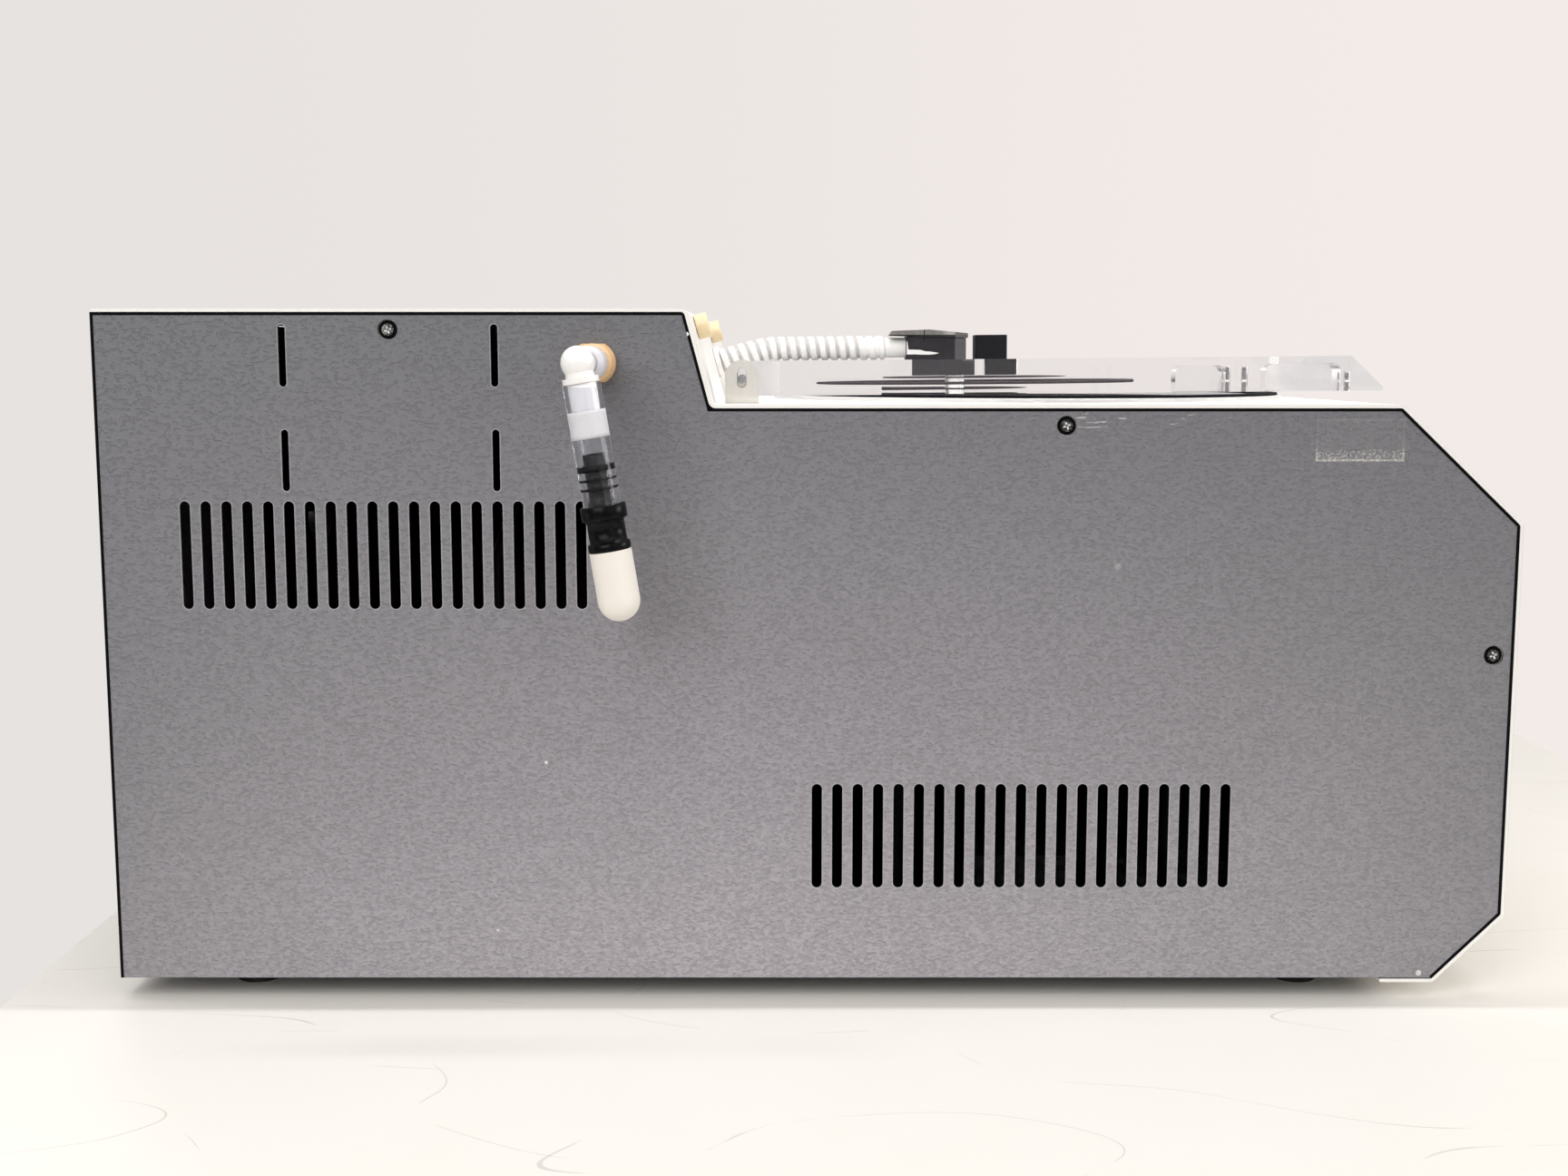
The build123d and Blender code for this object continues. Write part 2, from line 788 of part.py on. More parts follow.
with BuildPart() as shaft_seal:
    with BuildSketch(chamber.offset(bowl_under_z)):
        Circle(seal_r)
    extrude(amount=bowl_floor)
    with BuildSketch(chamber.offset(bowl_floor_z)):
        Circle(seal_r + seal_lip)
    extrude(amount=seal_height - bowl_floor)
    with BuildSketch(chamber.offset(bowl_under_z)):
        Circle(shaft_r + running_fit)
    extrude(amount=seal_height, mode=Mode.SUBTRACT)
shaft_seal.part.label = "shaft_seal"
export_step(shaft_seal.part, "parts/shaft_seal.step")

# Shaft from the motor up to the rotor's knob
base_plate_z = bowl_floor_z + base_plate_rise
tube_plate_z = bowl_floor_z + tube_plate_rise
hub_top = tube_plate_z + plate_thickness
with BuildPart() as drive_shaft:
    with BuildSketch(chamber.offset(motor_base + shaft_inset)):
        Circle(shaft_r)
    extrude(amount=hub_top + rotor_knob_bore - motor_base - 2 * shaft_inset)
    chamfer(drive_shaft.edges().filter_by(GeomType.CIRCLE), shaft_edge)
drive_shaft.part.label = "drive_shaft"
export_step(drive_shaft.part, "parts/drive_shaft.step")

with BuildPart() as motor_rotor:
    with BuildSketch(chamber.offset(motor_base + (motor_height - stack_height) / 2)):
        Circle(stack_r)
        Circle(shaft_r + running_fit, mode=Mode.SUBTRACT)
    extrude(amount=stack_height)
motor_rotor.part.label = "motor_rotor"
export_step(motor_rotor.part, "parts/motor_rotor.step")

# Rotor: a hub that carries the base plate on its collar, spacers, and the tube plate above
with BuildPart() as rotor_hub:
    with BuildSketch(chamber.offset(base_plate_z - hub_collar_height)):
        Circle(hub_collar_r)
    extrude(amount=hub_collar_height)
    with BuildSketch(chamber.offset(base_plate_z)):
        Circle(hub_r)
    extrude(amount=hub_top - base_plate_z)
    with BuildSketch(chamber.offset(base_plate_z - hub_collar_height)):
        Circle(shaft_r + running_fit)
    extrude(amount=hub_top - base_plate_z + hub_collar_height, mode=Mode.SUBTRACT)
rotor_hub.part.label = "rotor_hub"
export_step(rotor_hub.part, "parts/rotor_hub.step")

with BuildPart() as rotor_base_plate:
    with BuildSketch(chamber.offset(base_plate_z)):
        Circle(rotor_r)
        Circle(hub_r + running_fit, mode=Mode.SUBTRACT)
        with PolarLocations(well_circle_r, well_count):
            Circle(tip_hole_r, mode=Mode.SUBTRACT)
    extrude(amount=plate_thickness)
rotor_base_plate.part.label = "rotor_base_plate"
export_step(rotor_base_plate.part, "parts/rotor_base_plate.step")

with BuildPart() as tube_plate:
    with BuildSketch(chamber.offset(tube_plate_z)):
        Circle(rotor_r)
        Circle(hub_r + running_fit, mode=Mode.SUBTRACT)
        with PolarLocations(well_circle_r, well_count):
            Circle(well_r, mode=Mode.SUBTRACT)
    extrude(amount=plate_thickness)
tube_plate.part.label = "tube_plate"
export_step(tube_plate.part, "parts/tube_plate.step")

with BuildPart() as rotor_spacers:
    with BuildSketch(chamber.offset(base_plate_z + plate_thickness)):
        with PolarLocations(spacer_circle_r, spacer_count, start_angle=15):
            Circle(spacer_r)
    extrude(amount=tube_plate_z - base_plate_z - plate_thickness)
rotor_spacers.part.label = "rotor_spacers"
export_step(rotor_spacers.part, "parts/rotor_spacers.step")

with BuildPart() as rotor_knob:
    with BuildSketch(chamber.offset(hub_top)):
        Circle(rotor_knob_r)
        with PolarLocations(rotor_knob_r + grip_offset, grip_count):
            Circle(grip_r, mode=Mode.SUBTRACT)
    extrude(amount=rotor_knob_height)
    with BuildSketch(chamber.offset(hub_top)):
        Circle(shaft_r + running_fit)
    extrude(amount=rotor_knob_bore, mode=Mode.SUBTRACT)
rotor_knob.part.label = "rotor_knob"
export_step(rotor_knob.part, "parts/rotor_knob.step")

# Lid: a clear plate drawn about its hinge pin, with a rounded rear edge, a sloped front edge,
# shallow seats for the boot and the pull block, and finger pockets under its near edge
tilt_x = (cos(radians(lid_tilt)), 0, sin(radians(lid_tilt)))
tilt_z = (-sin(radians(lid_tilt)), 0, cos(radians(lid_tilt)))
pin_point = place(pin_x, 0, pin_height)
lid_side = Plane(origin=pin_point, x_dir=tilt_x, z_dir=(0, -1, 0))
lid_flat = Plane(origin=pin_point, x_dir=tilt_x, z_dir=tilt_z)
lid_half = lid_thickness / 2
pocket_line = lid_width / 2 - pocket_edge - pocket_width / 2
with BuildPart() as lid_plate:
    with BuildSketch(lid_side):
        with BuildLine():
            Line((0, lid_half), (lid_reach - lid_bevel, lid_half))
            Line((lid_reach - lid_bevel, lid_half), (lid_reach, lid_lip - lid_half))
            Line((lid_reach, lid_lip - lid_half), (lid_reach, -lid_half))
            Line((lid_reach, -lid_half), (0, -lid_half))
            ThreePointArc((0, -lid_half), (-lid_half, 0), (0, lid_half))
        make_face()
    extrude(amount=lid_width / 2, both=True)
    with BuildSketch(lid_flat.offset(-lid_half)):
        with Locations((relief_length - relief_width, 0)):
            SlotOverall(2 * relief_width, relief_width)
    extrude(amount=lid_thickness, mode=Mode.SUBTRACT)
    for start, length, depth in pockets:
        with BuildSketch(lid_side.offset(pocket_line)):
            with BuildLine():
                FilletPolyline(
                    (start, -lid_half),
                    (start, depth - lid_half),
                    (start + length, depth - lid_half),
                    (start + length, -lid_half),
                    radius=pocket_corner,
                )
                Line((start + length, -lid_half), (start, -lid_half))
            make_face()
        extrude(amount=pocket_width / 2, both=True, mode=Mode.SUBTRACT)
    with BuildSketch(lid_flat.offset(-lid_half)):
        with Locations((elbow_at, 0)):
            Circle(elbow_leg_r + running_fit)
    extrude(amount=lid_thickness, mode=Mode.SUBTRACT)
    with BuildSketch(lid_flat.offset(lid_half - lid_sink)):
        with Locations(((boot_rear + boot_front) / 2, 0)):
            Rectangle(boot_front - boot_rear + 2 * running_fit, boot_width + 2 * running_fit)
        with Locations((pull_at, 0)):
            RectangleRounded(pull_size + 2 * running_fit, pull_size + 2 * running_fit, pull_edge)
    extrude(amount=lid_sink, mode=Mode.SUBTRACT)
    for screw_at, height in lid_screws_at:
        with BuildSketch(lid_flat.offset(-lid_half)):
            with Locations((screw_at, -pocket_line)):
                Circle(lid_screw_r + running_fit)
        extrude(amount=height, mode=Mode.SUBTRACT)
    for turn in (1, -1):
        with BuildSketch(lid_side.offset(turn * (lid_width / 2 - pin_grip))):
            Circle(pin_r + running_fit)
        extrude(amount=turn * pin_grip, mode=Mode.SUBTRACT)
lid_plate.part.label = "lid_plate"
export_step(lid_plate.part, "parts/lid_plate.step")

# Set screws in the lid's underside beside the pockets, and the hinge pins in its ends
with BuildPart() as lid_screws:
    for screw_at, height in lid_screws_at:
        with BuildSketch(lid_flat.offset(-lid_half)):
            with Locations((screw_at, -pocket_line)):
                Circle(lid_screw_r)
        extrude(amount=height - lid_screw_gap)
lid_screws.part.label = "lid_screws"
export_step(lid_screws.part, "parts/lid_screws.step")

with BuildPart() as hinge_pins:
    for turn in (1, -1):
        with BuildSketch(lid_side.offset(turn * (lid_width / 2 - pin_grip + pin_end_gap))):
            Circle(pin_r)
        extrude(amount=turn * (pin_grip - pin_end_gap + pin_length))
hinge_pins.part.label = "hinge_pins"
export_step(hinge_pins.part, "parts/hinge_pins.step")

# Hinge brackets: round-topped blocks on the deck, each with an upright slot for its pin
bracket_inner = lid_width / 2 + bracket_gap
pin_side = Plane(origin=pin_point, x_dir=(1, 0, 0), z_dir=(0, -1, 0))
bracket_base = deck_top - pin_height
bracket_shoulder = bracket_top - bracket_width / 2
brackets = {"left": bracket_inner, "right": -bracket_inner - bracket_thickness}
for hand, bracket_offset in brackets.items():
    with BuildPart() as hinge_bracket:
        with BuildSketch(pin_side.offset(bracket_offset)):
            with BuildLine():
                Line((-bracket_width / 2, bracket_base), (-bracket_width / 2, bracket_shoulder))
                ThreePointArc(
                    (-bracket_width / 2, bracket_shoulder),
                    (0, bracket_top),
                    (bracket_width / 2, bracket_shoulder),
                )
                Line((bracket_width / 2, bracket_shoulder), (bracket_width / 2, bracket_base))
                Line((bracket_width / 2, bracket_base), (-bracket_width / 2, bracket_base))
            make_face()
            with Locations((0, (bracket_slot_up - bracket_slot_down) / 2)):
                SlotCenterToCenter(
                    bracket_slot_up + bracket_slot_down,
                    2 * (pin_r + running_fit),
                    rotation=90,
                    mode=Mode.SUBTRACT,
                )
        extrude(amount=bracket_thickness)
    hinge_bracket.part.label = "hinge_bracket_" + hand
    export_step(hinge_bracket.part, "parts/hinge_bracket_" + hand + ".step")

# Hose route: straight out of its port, one arc, then straight along the lid to the cuff
hose_base = slant_at(0, hose_start_z).offset(hose_port_flange)
hose_line_z = lid_half + hose_rest_gap + hose_r
cuff_point = lid_side.from_local_coords((hose_end, hose_line_z))
lead = 2 * hose_r
start = Vector(hose_base.origin.X, 0, hose_base.origin.Z)
finish = Vector(cuff_point.X, 0, cuff_point.Z)
lead_end = start + Vector(*slant_normal) * lead
bend_drop = cos(radians(lid_tilt)) - cos(radians(slant_angle))
bend_run = sin(radians(slant_angle)) - sin(radians(lid_tilt))
line_rise = finish.Z - lead_end.Z
line_run = finish.X - lead_end.X
lid_slope = tan(radians(lid_tilt))
bend_r = (line_rise - line_run * lid_slope) / (bend_drop - bend_run * lid_slope)
bend_length = bend_r * radians(slant_angle - lid_tilt)
flat_length = (line_run - bend_r * bend_run) / cos(radians(lid_tilt))
hose_length = lead + bend_length + flat_length
print("hose bend radius", round(bend_r, 1), "last straight", round(flat_length, 1))
print("hose length", round(hose_length, 1))


def hose_station(distance):
    """Plane square to the hose at a distance along it, with x along the case's width."""
    if distance <= lead:
        angle = slant_angle
        point = start + Vector(*slant_normal) * distance
    elif distance <= lead + bend_length:
        angle = slant_angle - (distance - lead) / bend_length * (slant_angle - lid_tilt)
        point = lead_end + Vector(
            bend_r * (sin(radians(slant_angle)) - sin(radians(angle))),
            0,
            bend_r * (cos(radians(angle)) - cos(radians(slant_angle))),
        )
    else:
        angle = lid_tilt
        point = finish - Vector(*tilt_x) * (hose_length - distance)
    direction = (cos(radians(angle)), 0, sin(radians(angle)))
    return Plane(origin=(point.X, mid_y, point.Z), x_dir=(0, 1, 0), z_dir=direction)


rib_count = int(hose_length // rib_pitch)
rib_margin = (hose_length - rib_count * rib_pitch) / 2
rib_stations = [(0, hose_valley_r)]
for index in range(rib_count):
    rib_start = rib_margin + (index + 0.5) * rib_pitch - rib_crest / 2
    rib_stations += [
        (rib_start - rib_ramp, hose_valley_r),
        (rib_start, hose_r),
        (rib_start + rib_crest, hose_r),
        (rib_start + rib_crest + rib_ramp, hose_valley_r),
    ]
rib_stations.append((hose_length, hose_valley_r))
with BuildPart() as lid_hose:
    for distance, radius in rib_stations:
        with BuildSketch(hose_station(distance)):
            Circle(radius)
    loft(ruled=True)
    for distance, radius in rib_stations:
        with BuildSketch(hose_station(distance)):
            Circle(hose_bore_r)
    loft(ruled=True, mode=Mode.SUBTRACT)
lid_hose.part.label = "lid_hose"
export_step(lid_hose.part, "parts/lid_hose.step")

# Hose port through the slanted face: a flange outside, a barb in the hose and a tail inside the case
with BuildPart() as hose_port:
    with BuildSketch(slant_at(0, hose_start_z)):
        Circle(hose_port_r)
    extrude(amount=hose_port_flange)
    with BuildSketch(slant_at(0, hose_start_z).offset(hose_port_flange)):
        Circle(hose_bore_r - barb_fit)
    extrude(amount=hose_barb_length)
    with BuildSketch(slant_at(0, hose_start_z)):
        Circle(hose_bore_r)
    extrude(amount=-hose_tail_length)
    with BuildSketch(slant_at(0, hose_start_z).offset(-hose_tail_length)):
        Circle(pump_tube_bore_r)
    extrude(amount=hose_tail_length + hose_port_flange + hose_barb_length, mode=Mode.SUBTRACT)
hose_port.part.label = "hose_port"
export_step(hose_port.part, "parts/hose_port.step")

# Elbow in the lid: an upright leg through the plate and a barb into the hose
rearward = Vector(*tilt_x) * -1
elbow_line = Plane(origin=lid_side.from_local_coords((elbow_at, hose_line_z)), z_dir=rearward)
boot_line = Plane(origin=lid_side.from_local_coords((boot_rear, hose_line_z)), z_dir=rearward)
with BuildPart() as lid_elbow:
    with BuildSketch(lid_flat.offset(-lid_half)):
        with Locations((elbow_at, 0)):
            Circle(elbow_leg_r)
    extrude(amount=lid_half + hose_line_z)
    with BuildSketch(elbow_line):
        Circle(hose_bore_r - barb_fit)
    extrude(amount=elbow_at - hose_end + elbow_barb_length)
    with BuildSketch(lid_flat.offset(-lid_half)):
        with Locations((elbow_at, 0)):
            Circle(pump_tube_bore_r)
    extrude(amount=lid_half + hose_line_z, mode=Mode.SUBTRACT)
lid_elbow.part.label = "lid_elbow"
export_step(lid_elbow.part, "parts/lid_elbow.step")

# White cuff on the end of the hose
with BuildPart() as hose_cuff:
    with BuildSketch(Plane(origin=lid_side.from_local_coords((hose_end, hose_line_z)), z_dir=tilt_x)):
        Circle(cuff_r)
        Circle(hose_bore_r - barb_fit + running_fit, mode=Mode.SUBTRACT)
    extrude(amount=cuff_length - running_fit)
hose_cuff.part.label = "hose_cuff"
export_step(hose_cuff.part, "parts/hose_cuff.step")

# Black rubber boot folded over the elbow, with its cap strip and its foot let into the lid
boot_top = lid_half + boot_height
sink_floor = lid_half - lid_sink + running_fit
with BuildPart() as elbow_boot:
    with BuildSketch(lid_side):
        Polygon(
            (boot_rear, sink_floor),
            (boot_front, sink_floor),
            (boot_front, boot_top),
            (boot_rear, boot_top),
            align=None,
        )
    extrude(amount=boot_width / 2, both=True)
    with BuildSketch(lid_side):
        Polygon(
            (boot_cap_rear, boot_top),
            (boot_cap_front, boot_top - boot_cap_drop),
            (boot_cap_front, boot_top - boot_cap_drop + boot_cap_thickness),
            ((boot_cap_rear + boot_cap_front) / 2, boot_top + boot_cap_thickness + boot_cap_ridge),
            (boot_cap_rear + boot_cap_lean, boot_top + boot_cap_thickness),
            align=None,
        )
    extrude(amount=boot_cap_width / 2, both=True)
    with BuildSketch(lid_flat.offset(sink_floor)):
        with Locations((elbow_at, 0)):
            Circle(elbow_leg_r + running_fit)
    extrude(amount=hose_line_z - sink_floor + boot_end_gap, mode=Mode.SUBTRACT)
    with BuildSketch(elbow_line):
        Circle(hose_bore_r - barb_fit + running_fit)
    extrude(amount=elbow_at, mode=Mode.SUBTRACT)
    with BuildSketch(boot_line):
        Circle(cuff_r + running_fit)
    extrude(amount=boot_rear - hose_end + cuff_cut_over, mode=Mode.SUBTRACT)
elbow_boot.part.label = "elbow_boot"
export_step(elbow_boot.part, "parts/elbow_boot.step")

# Black pull block, its foot let into the lid as well
with BuildPart() as lid_pull:
    with BuildSketch(lid_flat.offset(sink_floor)):
        with Locations((pull_at, 0)):
            RectangleRounded(pull_size, pull_size, pull_edge)
    extrude(amount=lid_half - sink_floor + pull_height)
lid_pull.part.label = "lid_pull"
export_step(lid_pull.part, "parts/lid_pull.step")

# Knobs on the slanted face, each on its own shaft, and the valve bodies behind them
for hand, inboard in knob_inboard.items():
    knob_plane = slant_at(inboard - case_half, knob_z)
    with BuildPart() as flow_knob:
        with BuildSketch(knob_plane.offset(knob_gap)):
            Circle(knob_r)
        extrude(amount=knob_length - knob_gap)
        fillet(flow_knob.edges().filter_by(GeomType.CIRCLE), knob_edge)
        with BuildSketch(knob_plane.offset(knob_gap)):
            Circle(knob_shaft_r)
        extrude(amount=-cover_sheet - knob_gap - valve_length / 2)
    flow_knob.part.label = "flow_knob_" + hand
    export_step(flow_knob.part, "parts/flow_knob_" + hand + ".step")

with BuildPart() as valve_bodies:
    for inboard in knob_inboard.values():
        knob_plane = slant_at(inboard - case_half, knob_z).offset(-cover_sheet)
        with BuildSketch(knob_plane):
            Circle(valve_r)
        extrude(amount=-valve_length)
        with BuildSketch(knob_plane):
            Circle(knob_shaft_r + running_fit)
        extrude(amount=-valve_length / 2 - valve_end_gap, mode=Mode.SUBTRACT)
valve_bodies.part.label = "valve_bodies"
export_step(valve_bodies.part, "parts/valve_bodies.step")

# Exhaust port: a brass bushing with two flats, clamped through the near panel by its nut
port_face = Plane(origin=place(port_x, -panel_outer, port_z), x_dir=(1, 0, 0), z_dir=(0, -1, 0))
with BuildPart() as exhaust_bushing:
    with BuildSketch(port_face):
        Circle(collar_d / 2)
        Rectangle(collar_d, collar_flats, mode=Mode.INTERSECT)
    extrude(amount=collar_length)
    with BuildSketch(port_face):
        Circle(port_boss_r)
    extrude(amount=-panel_sheet - port_nut_length)
    with BuildSketch(port_face.offset(-panel_sheet)):
        RegularPolygon(port_nut_r, 6)
    extrude(amount=-port_nut_length)
    with BuildSketch(port_face.offset(collar_length)):
        Circle(port_bore_r + running_fit)
    extrude(amount=-collar_length - panel_sheet - port_nut_length, mode=Mode.SUBTRACT)
exhaust_bushing.part.label = "exhaust_bushing"
export_step(exhaust_bushing.part, "parts/exhaust_bushing.step")

# Two sealing rings between the bushing and the elbow
with BuildPart() as exhaust_rings:
    with BuildSketch(port_face.offset(collar_length)):
        Circle(grey_washer_r)
        Circle(port_bore_r + running_fit, mode=Mode.SUBTRACT)
    extrude(amount=grey_washer_length)
    with BuildSketch(port_face.offset(collar_length + grey_washer_length)):
        Circle(white_ring_r)
        Circle(port_bore_r + running_fit, mode=Mode.SUBTRACT)
    extrude(amount=white_ring_length)
exhaust_rings.part.label = "exhaust_rings"
export_step(exhaust_rings.part, "parts/exhaust_rings.step")

# Exhaust elbow: a leg in the bushing that runs out a little rearward to a ball, and a barbed leg
# that hangs from the ball at a slight lean
ring_end = collar_length + grey_washer_length + white_ring_length
hang_axis = (sin(radians(elbow_lean)), 0, -cos(radians(elbow_lean)))
ball_place = place(port_x - elbow_back, -panel_outer - elbow_out, port_z)
hang = Plane(origin=ball_place, x_dir=(0, -1, 0), z_dir=hang_axis)
leg_root = port_face.offset(ring_end + running_fit + elbow_shoulder / 2).origin
leg_line = hang.origin - leg_root
out_leg = Plane(origin=leg_root, x_dir=(0, 0, 1), z_dir=leg_line)
with BuildPart() as exhaust_elbow:
    with BuildSketch(port_face.offset(-elbow_spigot + ring_end)):
        Circle(port_bore_r)
    extrude(amount=elbow_spigot + running_fit)
    with BuildSketch(port_face.offset(ring_end + running_fit)):
        Circle(out_leg_r + elbow_shoulder)
    extrude(amount=elbow_shoulder)
    with BuildSketch(out_leg):
        Circle(out_leg_r)
    extrude(amount=leg_line.length)
    with BuildSketch(hang):
        Circle(down_leg_r)
    extrude(amount=down_leg_end)
    with BuildSketch(hang.offset(bead_start)):
        Circle(bead_r)
    extrude(amount=bead_end - bead_start)
    with Locations(hang.origin):
        Sphere(ball_r)
    with BuildSketch(port_face.offset(-elbow_spigot + ring_end)):
        Circle(elbow_spigot_bore_r)
    extrude(amount=elbow_spigot + running_fit + elbow_shoulder / 2, mode=Mode.SUBTRACT)
    with BuildSketch(out_leg.offset(-elbow_shoulder)):
        Circle(elbow_bore_r)
    extrude(amount=leg_line.length + elbow_shoulder, mode=Mode.SUBTRACT)
    with BuildSketch(hang):
        Circle(down_bore_r)
    extrude(amount=down_leg_end, mode=Mode.SUBTRACT)
exhaust_elbow.part.label = "exhaust_elbow"
export_step(exhaust_elbow.part, "parts/exhaust_elbow.step")

# Clear tube on the elbow's barb, with a band of white tape
with BuildPart() as exhaust_tube:
    with BuildSketch(hang.offset(tube_start)):
        Circle(tube_outer_r)
        Circle(tube_inner_r, mode=Mode.SUBTRACT)
    extrude(amount=tube_end - tube_start)
exhaust_tube.part.label = "exhaust_tube"
export_step(exhaust_tube.part, "parts/exhaust_tube.step")

with BuildPart() as tube_band:
    with BuildSketch(hang.offset(band_start)):
        Circle(tube_outer_r + running_fit + band_thickness)
        Circle(tube_outer_r + running_fit, mode=Mode.SUBTRACT)
    extrude(amount=band_end - band_start)
tube_band.part.label = "tube_band"
export_step(tube_band.part, "parts/tube_band.step")

# Black adapter: barbs in the tube, a collar, a body and a ring that holds the muffler
adapter_top_r = tube_inner_r - running_fit
with BuildPart() as muffler_adapter:
    with BuildSketch(hang.offset(adapter_barb_start)):
        Circle(adapter_core_r)
    extrude(amount=tube_end - adapter_barb_start)
    for index in range(adapter_barb_count):
        barb_at = adapter_barb_start + index * adapter_barb_pitch
        with BuildSketch(hang.offset(barb_at)):
            Circle(adapter_core_r + adapter_barb_root)
        with BuildSketch(hang.offset(barb_at + adapter_barb_run)):
            Circle(adapter_top_r)
        loft()
    with BuildSketch(hang.offset(tube_end)):
        Circle(adapter_collar_r)
    extrude(amount=adapter_collar_length)
    with BuildSketch(hang.offset(tube_end + adapter_collar_length)):
        Circle(adapter_body_r)
    extrude(amount=adapter_body_length)
    with BuildSketch(hang.offset(tube_end + adapter_collar_length + adapter_body_length)):
        Circle(adapter_ring_r)
    extrude(amount=adapter_ring_length)
    with BuildSketch(hang.offset(adapter_barb_start)):
        Circle(elbow_bore_r)
    adapter_length = tube_end + adapter_collar_length + adapter_body_length + adapter_ring_length
    extrude(amount=adapter_length - adapter_barb_start, mode=Mode.SUBTRACT)
muffler_adapter.part.label = "muffler_adapter"
export_step(muffler_adapter.part, "parts/muffler_adapter.step")

# Porous muffler: a hollow cup with a domed end
hang_across = (cos(radians(elbow_lean)), 0, sin(radians(elbow_lean)))
hang_side = Plane(origin=hang.origin, x_dir=hang_across, z_dir=(0, -1, 0))
muffler_end = adapter_length + muffler_length
with BuildPart() as muffler_element:
    with BuildSketch(hang_side):
        with BuildLine():
            Line((0, -muffler_end), (0, muffler_wall - muffler_end))
            ThreePointArc(
                (0, muffler_wall - muffler_end),
                (
                    (muffler_r - muffler_wall) * sin(radians(45)),
                    muffler_r - muffler_end - (muffler_r - muffler_wall) * cos(radians(45)),
                ),
                (muffler_r - muffler_wall, muffler_r - muffler_end),
            )
            Line(
                (muffler_r - muffler_wall, muffler_r - muffler_end),
                (muffler_r - muffler_wall, -adapter_length),
            )
            Line((muffler_r - muffler_wall, -adapter_length), (muffler_r, -adapter_length))
            Line((muffler_r, -adapter_length), (muffler_r, muffler_r - muffler_end))
            ThreePointArc(
                (muffler_r, muffler_r - muffler_end),
                (muffler_r * sin(radians(45)), muffler_r - muffler_end - muffler_r * cos(radians(45))),
                (0, -muffler_end),
            )
        make_face()
    revolve(axis=Axis(hang.origin, hang_axis))
muffler_element.part.label = "muffler_element"
export_step(muffler_element.part, "parts/muffler_element.step")

# Pump: a block and motor on rubber mounts, with two heads on top
pump_base = pan_sheet + pump_mount_height
pump_top = pump_base + pump_block
motor_axis_z = pump_base + pump_motor_r
mount_run = pump_length - 2 * pump_mount_inset
mount_spread = pump_width - 2 * pump_mount_inset
with BuildPart() as pump_mounts:
    with BuildSketch(level.offset(pan_sheet)):
        with Locations((pump_x, pump_y)):
            with GridLocations(mount_run, mount_spread, 2, 2):
                Circle(pump_mount_r)
    extrude(amount=pump_mount_height)
pump_mounts.part.label = "pump_mounts"
export_step(pump_mounts.part, "parts/pump_mounts.step")

with BuildPart() as pump_body:
    with BuildSketch(level.offset(pump_base)):
        with Locations((pump_x, pump_y)):
            RectangleRounded(pump_length, pump_width, pump_corner)
    extrude(amount=pump_block)
    with BuildSketch(side.offset(-pump_y - pump_width / 2)):
        with Locations((pump_x, motor_axis_z)):
            Circle(pump_motor_r)
            with PolarLocations(pump_motor_r + pump_fin_offset, pump_fin_count):
                Circle(pump_fin_r, mode=Mode.SUBTRACT)
    extrude(amount=-pump_motor_length)
pump_body.part.label = "pump_body"
export_step(pump_body.part, "parts/pump_body.step")

with BuildPart() as pump_heads:
    for turn in (-1, 1):
        head_x = pump_x + turn * head_spacing / 2
        with BuildSketch(level.offset(pump_top)):
            with Locations((head_x, pump_y)):
                Circle(head_r)
        extrude(amount=head_height)
        with BuildSketch(level.offset(pump_top + head_height)):
            with Locations((head_x, pump_y)):
                RectangleRounded(head_cap, head_cap, head_cap_corner)
        extrude(amount=head_cap_height)
pump_heads.part.label = "pump_heads"
export_step(pump_heads.part, "parts/pump_heads.step")

# Tubes: from the front head to the hose port's tail, and from the rear head to the exhaust bushing
heads_top = pump_top + head_height + head_cap_height
tail_end = slant_at(0, hose_start_z).offset(-hose_tail_length).origin
inlet_run = Vector(*slant_normal) * -pump_inlet_run
inlet_points = [
    tail_end,
    tail_end + inlet_run,
    Vector(*place(pump_x + head_spacing / 2, pump_y, heads_top + pump_inlet_rise)),
    Vector(*place(pump_x + head_spacing / 2, pump_y, heads_top)),
]
nut_end = panel_inner - port_nut_length
outlet_points = [
    Vector(*place(port_x, -nut_end, port_z)),
    Vector(*place(port_x, -nut_end + pump_outlet_run, port_z)),
    Vector(
        *place(
            (port_x + pump_x - head_spacing / 2) / 2,
            -nut_end + pump_outlet_side,
            port_z - pump_outlet_drop,
        )
    ),
    Vector(*place(pump_x - head_spacing / 2, pump_y - pump_outlet_drop, heads_top + pump_outlet_rise)),
    Vector(*place(pump_x - head_spacing / 2, pump_y, heads_top + pump_outlet_dip)),
    Vector(*place(pump_x - head_spacing / 2, pump_y, heads_top)),
]


def corner_radii(points):
    """The largest even arc that each corner's two runs allow."""
    radii = []
    for before, corner, after in zip(points, points[1:], points[2:]):
        turn = (corner - before).get_angle(after - corner)
        shorter = min((corner - before).length, (after - corner).length)
        radii.append(0.45 * shorter / tan(radians(turn / 2)))
    return radii


for points in (inlet_points, outlet_points):
    print("tube arcs", [round(radius, 1) for radius in corner_radii(points)])
with BuildPart() as pump_tubes:
    for points in (inlet_points, outlet_points):
        with BuildLine() as route:
            FilletPolyline(*points, radius=corner_radii(points))
        with BuildSketch(Plane(origin=points[0], z_dir=points[1] - points[0])):
            Circle(pump_tube_r)
            Circle(pump_tube_bore_r, mode=Mode.SUBTRACT)
        sweep(path=route.wires()[0])
pump_tubes.part.label = "pump_tubes"
export_step(pump_tubes.part, "parts/pump_tubes.step")

